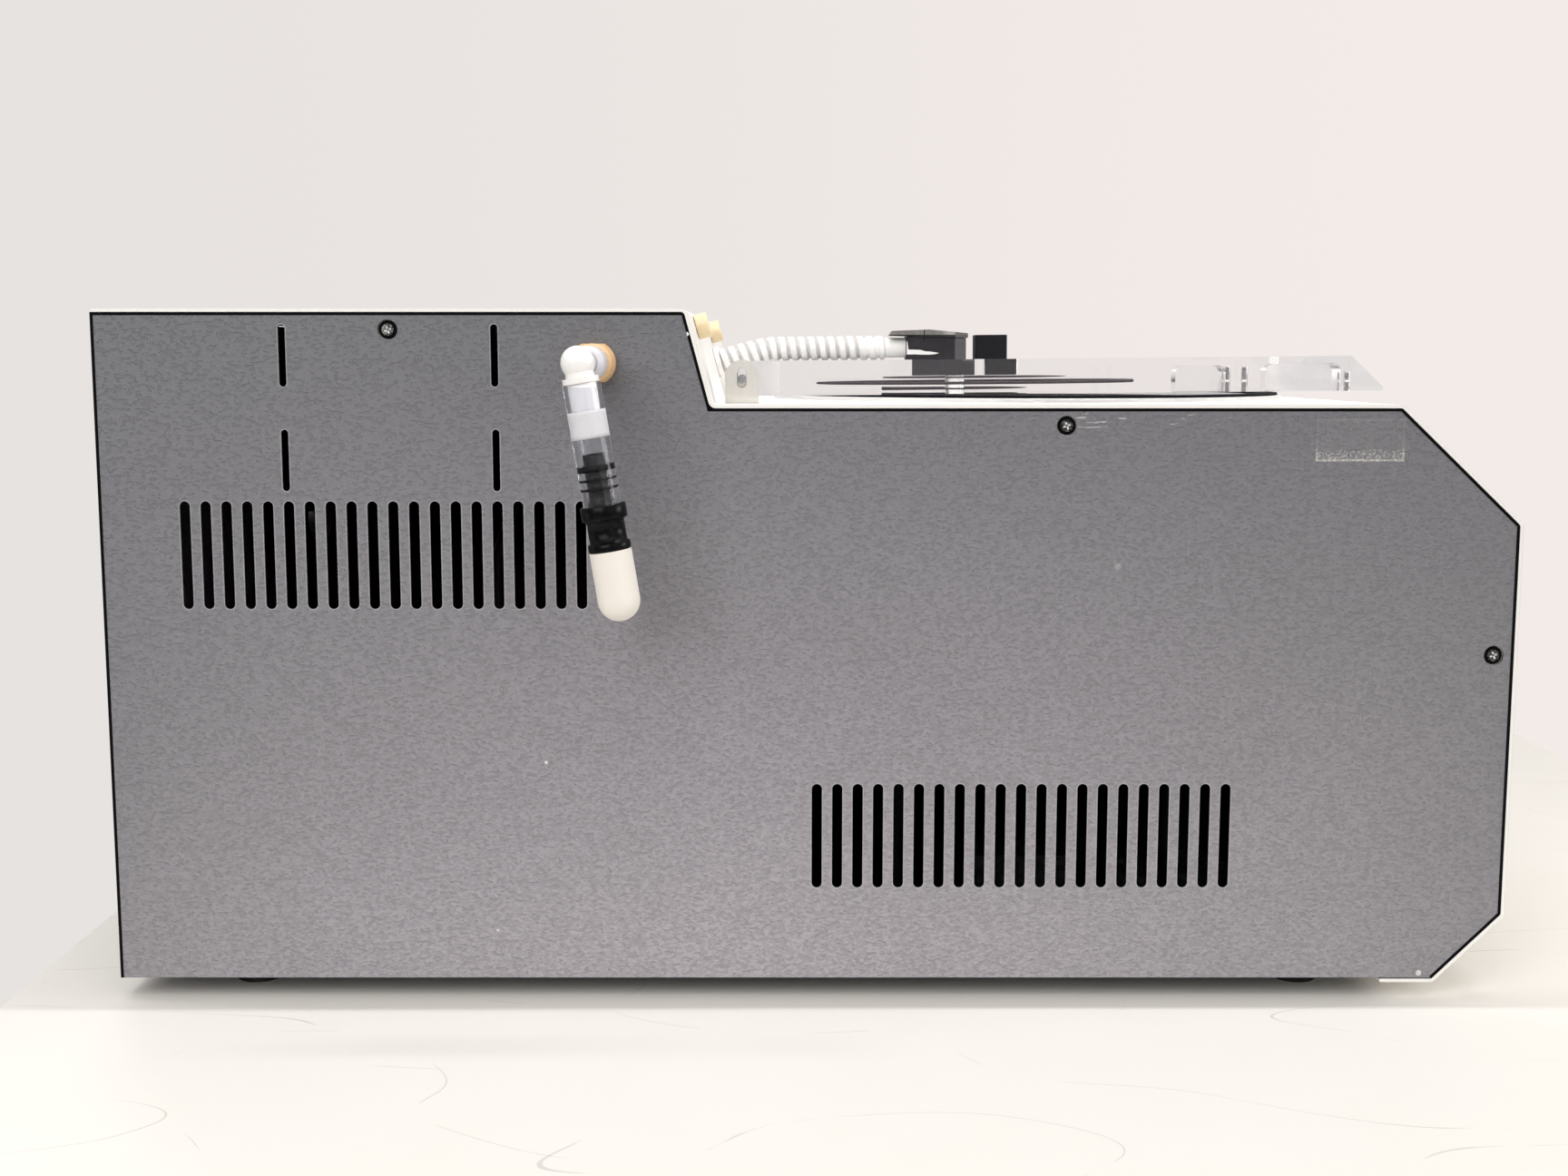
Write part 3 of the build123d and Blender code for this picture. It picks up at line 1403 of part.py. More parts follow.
# Fan behind the rear panel: a frame with a spider, a bladed rotor on a pin, and a wire guard outside
fan_seat = Plane(origin=place(rear_sheet, fan_y, fan_z), x_dir=(0, 1, 0), z_dir=(1, 0, 0))
with BuildPart() as fan_frame:
    with BuildSketch(fan_seat):
        RectangleRounded(fan_size, fan_size, fan_corner)
        Circle(fan_bore_r, mode=Mode.SUBTRACT)
        with GridLocations(fan_screw_spacing, fan_screw_spacing, 2, 2):
            Circle(screw_shank_d / 2 + hole_clearance, mode=Mode.SUBTRACT)
    extrude(amount=fan_depth)
    with BuildSketch(fan_seat.offset(fan_depth - fan_spider)):
        Circle(fan_hub_r - spider_hub_inset)
        Rectangle(2 * (fan_bore_r + spider_bite), spider_arm)
        Rectangle(spider_arm, 2 * (fan_bore_r + spider_bite))
        Circle(fan_pin_r + running_fit, mode=Mode.SUBTRACT)
    extrude(amount=fan_spider)
fan_frame.part.label = "fan_frame"
export_step(fan_frame.part, "parts/fan_frame.step")

fan_rotor_depth = fan_depth - fan_spider - 2 * fan_back_gap
blade_mid_x = rear_sheet + fan_back_gap + fan_rotor_depth / 2
with BuildPart() as fan_rotor:
    for index in range(fan_blades):
        turn = 360.0 * index / fan_blades
        outward = (0, cos(radians(turn)), sin(radians(turn)))
        with BuildSketch(Plane(origin=place(blade_mid_x, fan_y, fan_z), x_dir=(1, 0, 0), z_dir=outward)):
            Rectangle(fan_rotor_depth - 2 * blade_inset, fan_blade_sheet, rotation=fan_blade_angle)
        extrude(amount=fan_bore_r - fan_tip_gap)
    with BuildSketch(fan_seat.offset(fan_back_gap)):
        Circle(fan_hub_r)
    extrude(amount=fan_rotor_depth)
    with BuildSketch(fan_seat.offset(fan_back_gap + fan_rotor_depth)):
        Circle(fan_pin_r)
    extrude(amount=fan_back_gap + fan_spider - fan_pin_gap)
fan_rotor.part.label = "fan_rotor"
export_step(fan_rotor.part, "parts/fan_rotor.step")

guard_face = Plane(origin=place(0, fan_y, fan_z), x_dir=(0, -1, 0), z_dir=(-1, 0, 0))
guard_half = fan_screw_spacing / 2
with BuildPart() as fan_guard:
    with BuildSketch(guard_face.offset(guard_stand)):
        for ring_r in guard_rings:
            Circle(ring_r + guard_wire / 2)
            Circle(ring_r - guard_wire / 2, mode=Mode.SUBTRACT)
        for turn in (45, -45):
            Rectangle(2 * sqrt(2) * guard_half, guard_wire, rotation=turn)
        with GridLocations(fan_screw_spacing, fan_screw_spacing, 2, 2):
            Circle(guard_eye_r)
            Circle(screw_shank_d / 2 + hole_clearance, mode=Mode.SUBTRACT)
    extrude(amount=guard_wire)
    with BuildSketch(guard_face):
        with GridLocations(fan_screw_spacing, fan_screw_spacing, 2, 2):
            Circle(guard_eye_r)
            Circle(screw_shank_d / 2 + hole_clearance, mode=Mode.SUBTRACT)
    extrude(amount=guard_stand)
fan_guard.part.label = "fan_guard"
export_step(fan_guard.part, "parts/fan_guard.step")

# Mains inlet: a flanged socket with three blades
inlet_face = Plane(origin=place(0, inlet_y, inlet_z), x_dir=(0, -1, 0), z_dir=(-1, 0, 0))
with BuildPart() as power_inlet:
    with BuildSketch(inlet_face):
        RectangleRounded(*inlet_flange, flange_corner)
    extrude(amount=inlet_flange_thickness)
    with BuildSketch(inlet_face):
        RectangleRounded(*inlet_body, body_corner)
    extrude(amount=-inlet_body_depth)
    with BuildSketch(inlet_face.offset(inlet_flange_thickness)):
        RectangleRounded(*inlet_mouth, mouth_corner)
    extrude(amount=-inlet_mouth_depth, mode=Mode.SUBTRACT)
    with BuildSketch(inlet_face.offset(inlet_flange_thickness - inlet_mouth_depth)):
        with Locations((-blade_spread, -blade_drop), (0, blade_rise), (blade_spread, -blade_drop)):
            Rectangle(blade[1], blade[0])
    extrude(amount=blade[2])
power_inlet.part.label = "power_inlet"
export_step(power_inlet.part, "parts/power_inlet.step")

# Mains switch: a frame and its rocker, which tips about an upright pin
switch_face = Plane(origin=place(0, inlet_y, inlet_z + switch_rise), x_dir=(0, -1, 0), z_dir=(-1, 0, 0))
pin_origin = place(rocker_pin_depth, inlet_y, inlet_z + switch_rise)
rocker_pin = Plane(origin=pin_origin, x_dir=(0, -1, 0), z_dir=(0, 0, 1))
pin_reach = rocker_size[1] / 2 + rocker_gap + rocker_pin_bite
with BuildPart() as switch_frame:
    with BuildSketch(switch_face):
        RectangleRounded(*switch_flange, body_corner)
    extrude(amount=inlet_flange_thickness)
    with BuildSketch(switch_face):
        Rectangle(*switch_body)
    extrude(amount=-switch_depth)
    with BuildSketch(switch_face.offset(inlet_flange_thickness)):
        Rectangle(rocker_size[0] + 2 * rocker_gap, rocker_size[1] + 2 * rocker_gap)
    extrude(amount=-inlet_flange_thickness - rocker_depth - rocker_gap, mode=Mode.SUBTRACT)
    with BuildSketch(rocker_pin):
        Circle(rocker_pin_r + running_fit)
    extrude(amount=pin_reach + running_fit, both=True, mode=Mode.SUBTRACT)
switch_frame.part.label = "switch_frame"
export_step(switch_frame.part, "parts/switch_frame.step")

tipped = rocker_pin.rotated((0, 0, -rocker_tilt))
rocker_half = rocker_size[0] / 2
with BuildPart() as power_rocker:
    with BuildSketch(tipped):
        Polygon(
            (-rocker_half, -rocker_pin_depth - rocker_crown),
            (0, -rocker_pin_depth - rocker_crown / 2),
            (rocker_half, -rocker_pin_depth - rocker_crown),
            (rocker_half * rocker_foot, rocker_depth - rocker_pin_depth - rocker_foot_gap),
            (-rocker_half * rocker_foot, rocker_depth - rocker_pin_depth - rocker_foot_gap),
            align=None,
        )
    extrude(amount=rocker_size[1] / 2, both=True)
    with BuildSketch(tipped):
        Circle(rocker_pin_r)
    extrude(amount=pin_reach, both=True)
power_rocker.part.label = "power_rocker"
export_step(power_rocker.part, "parts/power_rocker.step")

# Control panel on the bevel: a bezel, a window set in it, two keys and the board behind them
with BuildPart() as control_bezel:
    with BuildSketch(bevel):
        RectangleRounded(bezel_width, bezel_height, bezel_corner)
        with Locations((window_x, 0)):
            Rectangle(window_size[0] + key_gap, window_size[1] + key_gap, mode=Mode.SUBTRACT)
        for key_x in key_at.values():
            with Locations((key_x, 0)):
                Rectangle(key_size + 2 * key_gap, key_size + 2 * key_gap, mode=Mode.SUBTRACT)
    extrude(amount=bezel_thickness)
control_bezel.part.label = "control_bezel"
export_step(control_bezel.part, "parts/control_bezel.step")

with BuildPart() as display_window:
    with BuildSketch(bevel):
        with Locations((window_x, 0)):
            Rectangle(*window_size)
    extrude(amount=bezel_thickness)
display_window.part.label = "display_window"
export_step(display_window.part, "parts/display_window.step")

key_seat = bevel.offset(-cover_sheet - running_fit)
for name, key_x in key_at.items():
    with BuildPart() as panel_key:
        with BuildSketch(key_seat.offset(-key_flange_thickness)):
            with Locations((key_x, 0)):
                Rectangle(key_size + 2 * key_flange, key_size + 2 * key_flange)
        extrude(amount=key_flange_thickness)
        with BuildSketch(key_seat):
            with Locations((key_x, 0)):
                RectangleRounded(key_size, key_size, key_corner)
        extrude(amount=running_fit + cover_sheet + bezel_thickness + key_proud)
        fillet(panel_key.faces().sort_by(Axis(bevel.origin, bevel_normal))[-1].edges(), key_edge)
    panel_key.part.label = name + "_key"
    export_step(panel_key.part, "parts/" + name + "_key.step")

key_middle = sum(key_at.values()) / len(key_at)
key_spread = max(key_at.values()) - min(key_at.values())
board_length = key_spread + key_size + 2 * key_flange + 4 * board_post_r + 2 * board_margin
board_drop = key_flange_thickness + key_travel + 2 * key_gap
with BuildPart() as key_board:
    with BuildSketch(key_seat.offset(-board_drop)):
        with Locations((key_middle, 0)):
            Rectangle(board_length, key_size + 2 * key_flange + board_margin)
    extrude(amount=-board_thickness)
    with BuildSketch(key_seat.offset(-board_drop)):
        with Locations((key_middle, 0)):
            with GridLocations(board_length - 2 * board_post_r, 1, 2, 1):
                Circle(board_post_r)
    extrude(amount=board_drop + running_fit)
key_board.part.label = "key_board"
export_step(key_board.part, "parts/key_board.step")

# Circuit board with its transformer and capacitors, on four posts by the near side
board_z = pan_sheet + tray_posts_height
with BuildPart() as circuit_board:
    with BuildSketch(level.offset(pan_sheet)):
        with Locations((tray_x, tray_y)):
            with GridLocations(tray_size[0] - 2 * tray_post_inset, tray_size[1] - 2 * tray_post_inset, 2, 2):
                Circle(tray_post_r)
    extrude(amount=tray_posts_height)
    with BuildSketch(level.offset(board_z)):
        with Locations((tray_x, tray_y)):
            Rectangle(*tray_size)
    extrude(amount=board_thickness)
    with BuildSketch(level.offset(board_z + board_thickness)):
        with Locations((tray_x + transformer_x, tray_y)):
            Rectangle(*transformer[:2])
    extrude(amount=transformer[2])
    with BuildSketch(level.offset(board_z + board_thickness)):
        with Locations(*[(tray_x + x, tray_y + y) for x, y in capacitors]):
            Circle(capacitor_r)
    extrude(amount=capacitor_height)
    with BuildSketch(level.offset(board_z + board_thickness)):
        with Locations((tray_x + heat_sink[0], tray_y + heat_sink[1])):
            with GridLocations(1, fin_pitch, 1, fin_count):
                Rectangle(fin_length, fin_sheet)
            Rectangle(fin_spine, (fin_count - 1) * fin_pitch + fin_sheet)
    extrude(amount=heat_sink_height)
circuit_board.part.label = "circuit_board"
export_step(circuit_board.part, "parts/circuit_board.step")
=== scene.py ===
import json
from math import cos, pi, radians, sin, tan

import bmesh
import bpy
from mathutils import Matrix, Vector


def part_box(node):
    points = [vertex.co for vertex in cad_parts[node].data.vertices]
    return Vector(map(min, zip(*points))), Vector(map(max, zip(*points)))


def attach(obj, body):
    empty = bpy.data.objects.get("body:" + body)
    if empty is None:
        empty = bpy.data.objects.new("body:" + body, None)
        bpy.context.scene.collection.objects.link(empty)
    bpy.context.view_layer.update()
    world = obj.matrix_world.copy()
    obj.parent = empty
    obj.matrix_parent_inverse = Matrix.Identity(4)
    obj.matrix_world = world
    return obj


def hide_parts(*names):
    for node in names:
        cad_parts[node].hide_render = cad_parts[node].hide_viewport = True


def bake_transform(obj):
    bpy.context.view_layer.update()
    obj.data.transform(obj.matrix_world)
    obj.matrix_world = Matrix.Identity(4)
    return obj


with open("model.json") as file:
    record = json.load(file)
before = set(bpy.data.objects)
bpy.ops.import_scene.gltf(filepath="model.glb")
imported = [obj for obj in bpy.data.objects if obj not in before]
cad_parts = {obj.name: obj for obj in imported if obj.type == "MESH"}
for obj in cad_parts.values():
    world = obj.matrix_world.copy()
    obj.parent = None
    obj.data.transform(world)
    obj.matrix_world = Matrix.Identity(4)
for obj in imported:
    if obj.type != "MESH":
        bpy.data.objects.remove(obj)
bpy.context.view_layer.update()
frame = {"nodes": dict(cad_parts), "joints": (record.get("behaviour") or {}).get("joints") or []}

MM = 0.001
joint_place = {joint["name"]: joint["pos_m"] for joint in frame["joints"] if "pos_m" in joint}


def add_piece(name, data):
    """A new object in the scene with this data."""
    piece = bpy.data.objects.new(name, data)
    bpy.context.scene.collection.objects.link(piece)
    return piece


# Camera: at the height of the case's top, square to the near panel and tipped down a little.
# Its place was worked out from the edges of the near side panel.
camera_place = (-0.011, -0.97375, 0.298)
camera_pitch = radians(7.157)
camera = add_piece("camera", bpy.data.cameras.new("camera"))
camera.location = camera_place
camera.rotation_euler = (pi / 2 - camera_pitch, 0, 0)
camera.data.sensor_width = 36.0
camera.data.lens = 41.15
camera.data.clip_start = 0.01
bpy.context.scene.camera = camera
bpy.context.scene.view_settings.view_transform = "Standard"


class Wire:
    """A socket in a node tree. Arithmetic on it adds Math nodes."""

    def __init__(self, graph, socket):
        self.graph = graph
        self.socket = socket

    def math(self, operation, *values):
        settings = {"operation": operation}
        return self.graph.node("ShaderNodeMath", settings, dict(enumerate(values)))

    def __add__(self, other):
        return self.math("ADD", self, other)

    def __sub__(self, other):
        return self.math("SUBTRACT", self, other)

    def __rsub__(self, other):
        return self.math("SUBTRACT", other, self)

    def __mul__(self, other):
        return self.math("MULTIPLY", self, other)

    def __truediv__(self, other):
        return self.math("DIVIDE", self, other)

    def __abs__(self):
        return self.math("ABSOLUTE", self)

    __radd__ = __add__
    __rmul__ = __mul__

    def larger(self, other):
        return self.math("MAXIMUM", self, other)

    def fraction(self):
        return self.math("FRACT", self)

    def above(self, level, soft):
        """1 where the value is over the level, falling to 0 over a soft edge below it."""
        settings = {"interpolation_type": "SMOOTHSTEP", "clamp": True}
        values = {"Value": self, "From Min": level - soft, "From Max": level}
        return self.graph.node("ShaderNodeMapRange", settings, values)

    def below(self, level, soft):
        return 1 - self.above(level + soft, soft)


class Graph:
    """A node tree, and one method that adds any node to it."""

    def __init__(self, tree):
        self.tree = tree

    def feed(self, socket, value):
        if isinstance(value, Wire):
            self.tree.links.new(value.socket, socket)
        else:
            socket.default_value = value

    def node(self, kind, settings, values, output=0):
        made = self.tree.nodes.new(kind)
        for name, value in settings.items():
            if name == "stops":
                for index, (place, color) in enumerate(value):
                    stops = made.color_ramp.elements
                    stop = stops[index] if index < len(stops) else stops.new(place)
                    stop.position = place
                    stop.color = color
            else:
                setattr(made, name, value)
        for name, value in values.items():
            self.feed(made.inputs[name], value)
        return Wire(self, made.outputs[output])


class Finish(Graph):
    """A material on the Principled shader, patterned in the piece's own coordinates."""

    def __init__(self, name, color, **fixed):
        self.material = bpy.data.materials.new(name)
        self.material.use_nodes = True
        super().__init__(self.material.node_tree)
        self.shader = self.tree.nodes["Principled BSDF"]
        self.set(Base_Color=(*color, 1), **fixed)
        self.place = self.node("ShaderNodeTexCoord", {}, {}, "Object")

    def set(self, **values):
        for name, value in values.items():
            self.feed(self.shader.inputs[name.replace("_", " ")], value)

    def axes(self):
        split = self.node("ShaderNodeSeparateXYZ", {}, {0: self.place})
        outputs = split.socket.node.outputs
        return [Wire(self, output) for output in outputs]

    def noise(self, size, detail=2.0, stretch=None, turn=(0, 0, 0)):
        """Noise from 0 to 1 with features of about this size in metres."""
        place = self.place
        if stretch:
            values = {"Vector": place, "Scale": stretch, "Rotation": turn}
            place = self.node("ShaderNodeMapping", {}, values)
        values = {"Vector": place, "Scale": 1 / size, "Detail": detail}
        return self.node("ShaderNodeTexNoise", {}, values)

    def blend(self, share, first, second):
        """Mix two colours by a share from 0 to 1."""
        ends = [value if isinstance(value, Wire) else (*value, 1) for value in (first, second)]
        settings = {"data_type": "RGBA"}
        return self.node("ShaderNodeMix", settings, {0: share, 6: ends[0], 7: ends[1]}, 2)

    def layered(self, tone, layers):
        """Lay colours over a tone, each by its share."""
        for share, color in layers:
            tone = self.blend(share, tone, color)
        return tone

    def let_light_through(self, share):
        """Let this share of the lamps' light through, as clear plastic does."""
        shadow_ray = self.node("ShaderNodeLightPath", {}, {}, "Is Shadow Ray")
        self.set(Alpha=1 - shadow_ray * share)

    def tint(self, share, first, second):
        """Colour the surface by a blend of two colours."""
        self.set(Base_Color=self.blend(share, first, second))

    def reach(self, place, point):
        """Distance of a place from a point."""
        return self.node("ShaderNodeVectorMath", {"operation": "DISTANCE"}, {0: place, 1: point}, "Value")

    def diagonal(self, side, up):
        return self.place.math("SQRT", side * side + up * up)

    def flat(self, x, y):
        """The place at this x and y, on the floor."""
        return self.node("ShaderNodeCombineXYZ", {}, {0: x, 1: y})

    def relief(self, height, depth, edge=0):
        """Bump of this depth in metres, over edges rounded by this radius."""
        values = {"Height": height, "Distance": depth}
        if edge:
            values["Normal"] = self.node("ShaderNodeBevel", {"samples": 6}, {"Radius": edge})
        self.set(Normal=self.node("ShaderNodeBump", {}, values))


def grained(name, colors, grain, depth, edge=0, **fixed):
    """A finish of one colour, or mottled between two, with a relief of the same grain of (size, detail)."""
    middle = [sum(parts) / len(parts) for parts in zip(*colors)]
    finish = Finish(name, middle, **fixed)
    share = finish.noise(*grain)
    if len(colors) == 2:
        finish.tint(share, *colors)
    finish.relief(share, depth, edge)
    return finish


def box(name, low, high, finish, edge=0):
    """A box between two corners, its edges rounded by this radius."""
    mesh = bpy.data.meshes.new(name)
    shape = bmesh.new()
    bmesh.ops.create_cube(shape, size=1.0)
    for corner in shape.verts:
        corner.co = [near if side < 0 else far for near, far, side in zip(low, high, corner.co)]
    if edge:
        bmesh.ops.bevel(shape, geom=shape.edges[:], offset=edge, segments=3, profile=0.5, affect="EDGES")
    shape.to_mesh(mesh)
    shape.free()
    mesh.materials.append(finish.material)
    return add_piece(name, mesh)


# Table and room: a white laminate top with softened edges and fine scratches, in front of a warm grey wall.
# Two ceiling strips, a window to the left and soft lamps behind and to the right light it, and the room,
# which mirrors dimmer on the camera's side, fills in the rest.
table_finish = Finish("table_laminate", (0.82, 0.795, 0.75), Roughness=0.55)
table_scuff = table_finish.noise(0.05, 4.0)
table_tone = table_finish.blend(table_scuff, (0.84, 0.81, 0.755), (0.865, 0.84, 0.79))
for scratch_size, scratch_stretch, scratch_angle in ((0.30, (1, 2.2, 1), 0.5), (0.22, (0.5, 2.0, 1), -0.3)):
    scratch_turn = (0, 0, scratch_angle)
    scratch_field = table_finish.noise(scratch_size, 1.0, scratch_stretch, scratch_turn)
    scratch_thin = abs(scratch_field - 0.5).below(0.0004, 0.0008)
    scratch_part = table_finish.noise(0.09, 3.0, (1, 1, 1), scratch_turn).above(0.57, 0.08)
    table_tone = table_finish.blend(scratch_thin * scratch_part * 0.4, table_tone, (0.38, 0.35, 0.32))
table_finish.set(Base_Color=table_tone)
table_low = (-0.378, -0.6, -0.025)
table_high = (0.582, 0.45, 0.0)
table = box("table_top", table_low, table_high, table_finish, 2 * MM)

# Painted light: the wall seen by the camera is painted lighter towards the right.
wall_left = (0.80, 0.765, 0.745)
wall_right = (0.895, 0.83, 0.805)
room_light = 0.37
room = bpy.data.worlds.new("room")
bpy.context.scene.world = room
room.use_nodes = True
room_graph = Graph(room.node_tree)
room_seen = room_graph.tree.nodes["Background"]
room_way = room_graph.node("ShaderNodeTexCoord", {}, {}, "Generated")
room_x = room_graph.node("ShaderNodeSeparateXYZ", {}, {0: room_way})
room_side = room_x.above(0.4, 0.8)
room_values = {0: room_side, 6: (*wall_left, 1), 7: (*wall_right, 1)}
room_tint = room_graph.node("ShaderNodeMix", {"data_type": "RGBA"}, room_values, 2)
room_graph.feed(room_seen.inputs["Color"], room_tint)
room_rays = room_graph.node("ShaderNodeLightPath", {}, {}, "Is Camera Ray")
ray_outputs = room_rays.socket.node.outputs
glossy_rays = Wire(room_graph, ray_outputs["Is Glossy Ray"])
through_rays = Wire(room_graph, ray_outputs["Is Transmission Ray"])
room_share = (room_rays + glossy_rays + through_rays).above(0.5, 0.4)
room_front = Wire(room_graph, room_x.socket.node.outputs["Y"]).below(-0.3, 0.5)
mirror_share = 1 - glossy_rays * (1 - through_rays) * room_front * 0.75
room_strength = (room_share * (1 - room_light) + room_light) * mirror_share
room_graph.feed(room_seen.inputs["Strength"], room_strength)

object_middle = Vector((0, 0, 0.15))
lamps = {
    "key": ((-0.9, -1.9, 1.15), (1.6, 1.4), 27.5),
    "fill": ((1.4, -1.7, 0.9), (1.5, 1.5), 5.0),
    "strip_over": ((0.0, -0.085, 1.8), (1.7, 0.025), 15.0),
    "strip_front": ((0.1, -1.2, 1.8), (1.7, 0.10), 6.0),
    "back": ((-0.6, 2.0, 1.2), (1.8, 1.8), 8.0),
    "side": ((3.2, -0.2, 1.0), (1.4, 1.4), 38.0),
}
for lamp_name, (lamp_place, (lamp_width, lamp_height), lamp_power) in lamps.items():
    lamp_data = bpy.data.lights.new(lamp_name, "AREA")
    lamp_data.shape = "RECTANGLE"
    lamp_data.size = lamp_width
    lamp_data.size_y = lamp_height
    lamp_data.energy = lamp_power
    lamp = add_piece(lamp_name, lamp_data)
    lamp.location = lamp_place
    lamp.rotation_euler = (object_middle - lamp.location).to_track_quat("-Z", "Y").to_euler()


def dress(finish, *names):
    """Give these nodes of the frame a finish."""
    for name in names:
        for slot in frame["nodes"][name].material_slots:
            slot.material = finish.material


# Base pan and bay wall: folded steel painted near black as painted shade, so the inside looks dark through
# the vents.
interior_shade_tones = [(0.010, 0.010, 0.011), (0.018, 0.018, 0.019)]
interior_shade_black = grained("matt_black_coat", interior_shade_tones, (0.0015, 3.0), 0.00008, Roughness=0.7)
dress(interior_shade_black, "base_pan", "bay_wall")

# Rubber feet: moulded black rubber, dull with dust, screwed up into the base pan.
rubber = Finish("black_rubber", (0.018, 0.018, 0.019), Roughness=0.75)
rubber_dust = rubber.noise(0.004, 4.0)
rubber.tint(rubber_dust.above(0.62, 0.2), (0.008, 0.008, 0.009), (0.022, 0.021, 0.021))
rubber.relief(rubber.noise(0.0008), 0.00008, 0.0006)
dress(rubber, "rubber_feet", "pump_mounts", "shaft_seal")

# Side and rear panels: steel sheet in grey powder coat with a fine leathery texture. The grey is painted
# much lighter towards the bottom and darker towards the top and both ends, as painted light and shade; the
# inner faces are painted black as painted shade, and a pale halo round the edges of the slots is a painted
# highlight. The near panel has the ghost of a label, scratches along its top edge and small chips.
panel_low, panel_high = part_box("left_side_panel")
middle_y = (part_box("base_pan")[0][1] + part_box("base_pan")[1][1]) / 2
powder = Finish("grey_powder_coat", (0.25, 0.25, 0.26), Roughness=0.5)
powder_x, powder_y, powder_z = powder.axes()
half_inside = 0.1829
panel_long = 0.65
panel_tall = 0.31
near_side = powder_y.below(middle_y - 0.15, 0.001)
panel_x = powder_x - panel_low[0]
panel_z = powder_z - panel_low[2]
grain = powder.noise(0.0011, 3.0, stretch=(0.6, 0.6, 1.2))
speck = powder.noise(0.0007, 1.0)
cloud = powder.noise(0.12, 2.0)
panel_height = panel_z / panel_tall
panel_off_middle = abs(panel_x / panel_long - 0.5) * 2
pock = powder.noise(0.0019, 2.0, stretch=(0.7, 0.7, 1.2), turn=(0, radians(12), 0)).below(0.38, 0.08)
# Painted light and shade: the grey is painted much lighter towards the bottom, where the table throws light
# up, and darker towards the top.
powder_painted_light = powder.blend(panel_height, (0.410, 0.385, 0.416), (0.143, 0.146, 0.158))
powder_layers = [
    # Painted shade: both ends of each panel are painted darker.
    (panel_off_middle * panel_off_middle * 0.52, (0.160, 0.163, 0.171)),
    (cloud.above(0.75, 0.5) * 0.15, (0.20, 0.195, 0.205)),
    (grain.below(0.45, 0.14) * 0.30, (0.14, 0.136, 0.146)),
    (speck.above(0.70, 0.1) * 0.22, (0.42, 0.41, 0.42)),
    (pock * (panel_height * 0.12 + 0.11), (0.11, 0.108, 0.116)),
]

label_middle = (0.5747, 0.2532)
label_half = (0.0200, 0.0095)
label_x = abs(panel_x - label_middle[0]) - label_half[0]
label_z = abs(panel_z - label_middle[1]) - label_half[1]
label_inside = label_x.larger(label_z)
label_area = label_inside.below(0, 0.0004) * near_side
label_low = 1 - (panel_z - label_middle[1]).above(-0.002, 0.005)
label_rim = label_inside.above(-0.0006, 0.0004) * label_area * (0.05 + label_low * 0.30)
label_flakes = (powder.noise(0.0009, 4.0) + label_low * 0.09).above(0.650, 0.05)
label_film = label_rim + label_area * (0.015 + label_flakes * (0.12 + label_low * 0.30))
powder_layers.append((label_film, (0.66, 0.64, 0.58)))

scratch_lines = powder.noise(0.0035, 3.0, stretch=(0.3, 1, 3.0)).above(0.67, 0.04)
scratch_band = panel_x.above(0.440, 0.02) * panel_x.below(0.505, 0.02)
scratch_band = scratch_band * panel_z.above(0.2600, 0.004) * near_side
powder_layers.append((scratch_lines * scratch_band * 0.5, (0.75, 0.74, 0.72)))

# Each chip's place along the panel and up it, its radius and how strong it is.
chips = [
    (0.2019, 0.1037, 0.0006, 0.8),
    (0.1779, 0.0231, 0.0005, 0.6),
    (0.6120, 0.0023, 0.0012, 0.7),
    (0.4657, 0.1955, 0.0014, 0.18),
]
for chip_x, chip_z, chip_size, chip_share in chips:
    chip_place = (panel_low[0] + chip_x, panel_low[1], panel_low[2] + chip_z)
    chip_mask = (powder.reach(powder.place, chip_place) + grain * 0.0008).below(chip_size + 0.0004, 0.0003)
    powder_layers.append((chip_mask * chip_share, (0.82, 0.81, 0.79)))

# Each row of slots: its start, pitch, count and height, and a slot's half length and end radius.
slot_rows = [
    (0.0387, 0.009525, 21, 0.20045, 0.02485, 0.00238),
    (0.3278, 0.009525, 21, 0.06855, 0.02485, 0.00238),
    (0.0855, 0.096, 2, 0.2913, 0.0140, 0.00165),
    (0.0855, 0.096, 2, 0.2439, 0.0140, 0.00165),
]
for row_start, row_pitch, row_count, row_z, slot_half, slot_round in slot_rows:
    row_x = panel_x - (row_start - row_pitch / 2)
    slot_x = abs((row_x / row_pitch).fraction() - 0.5) * row_pitch
    slot_z = (abs(panel_z - row_z) - (slot_half - slot_round)).larger(0)
    slot_reach = powder.diagonal(slot_x, slot_z)
    row_area = row_x.above(0, 0.0001) * row_x.below(row_count * row_pitch, 0.0001)
    # Painted highlight: a pale halo is painted round the edge of each slot.
    slot_rim_highlight = slot_reach.below(slot_round + 0.0002, 0.0004) * row_area
    powder_layers.append((slot_rim_highlight * 0.40, (0.60, 0.58, 0.60)))
# Painted shade: the panels' inner faces are painted black, so no grey shows through the vents.
inner_face_shade = abs(powder_y - middle_y).below(half_inside, 0.0001) * panel_x.above(0.0025, 0.0002)
powder_layers.append((inner_face_shade, (0.003, 0.003, 0.003)))
powder.set(Base_Color=powder.layered(powder_painted_light, powder_layers), Roughness=0.46 + grain * 0.14)
powder.relief(grain * 0.35 + speck * 0.20 - pock * 0.45, 0.00050, 0.0004)
dress(powder, "left_side_panel", "right_side_panel", "rear_panel")

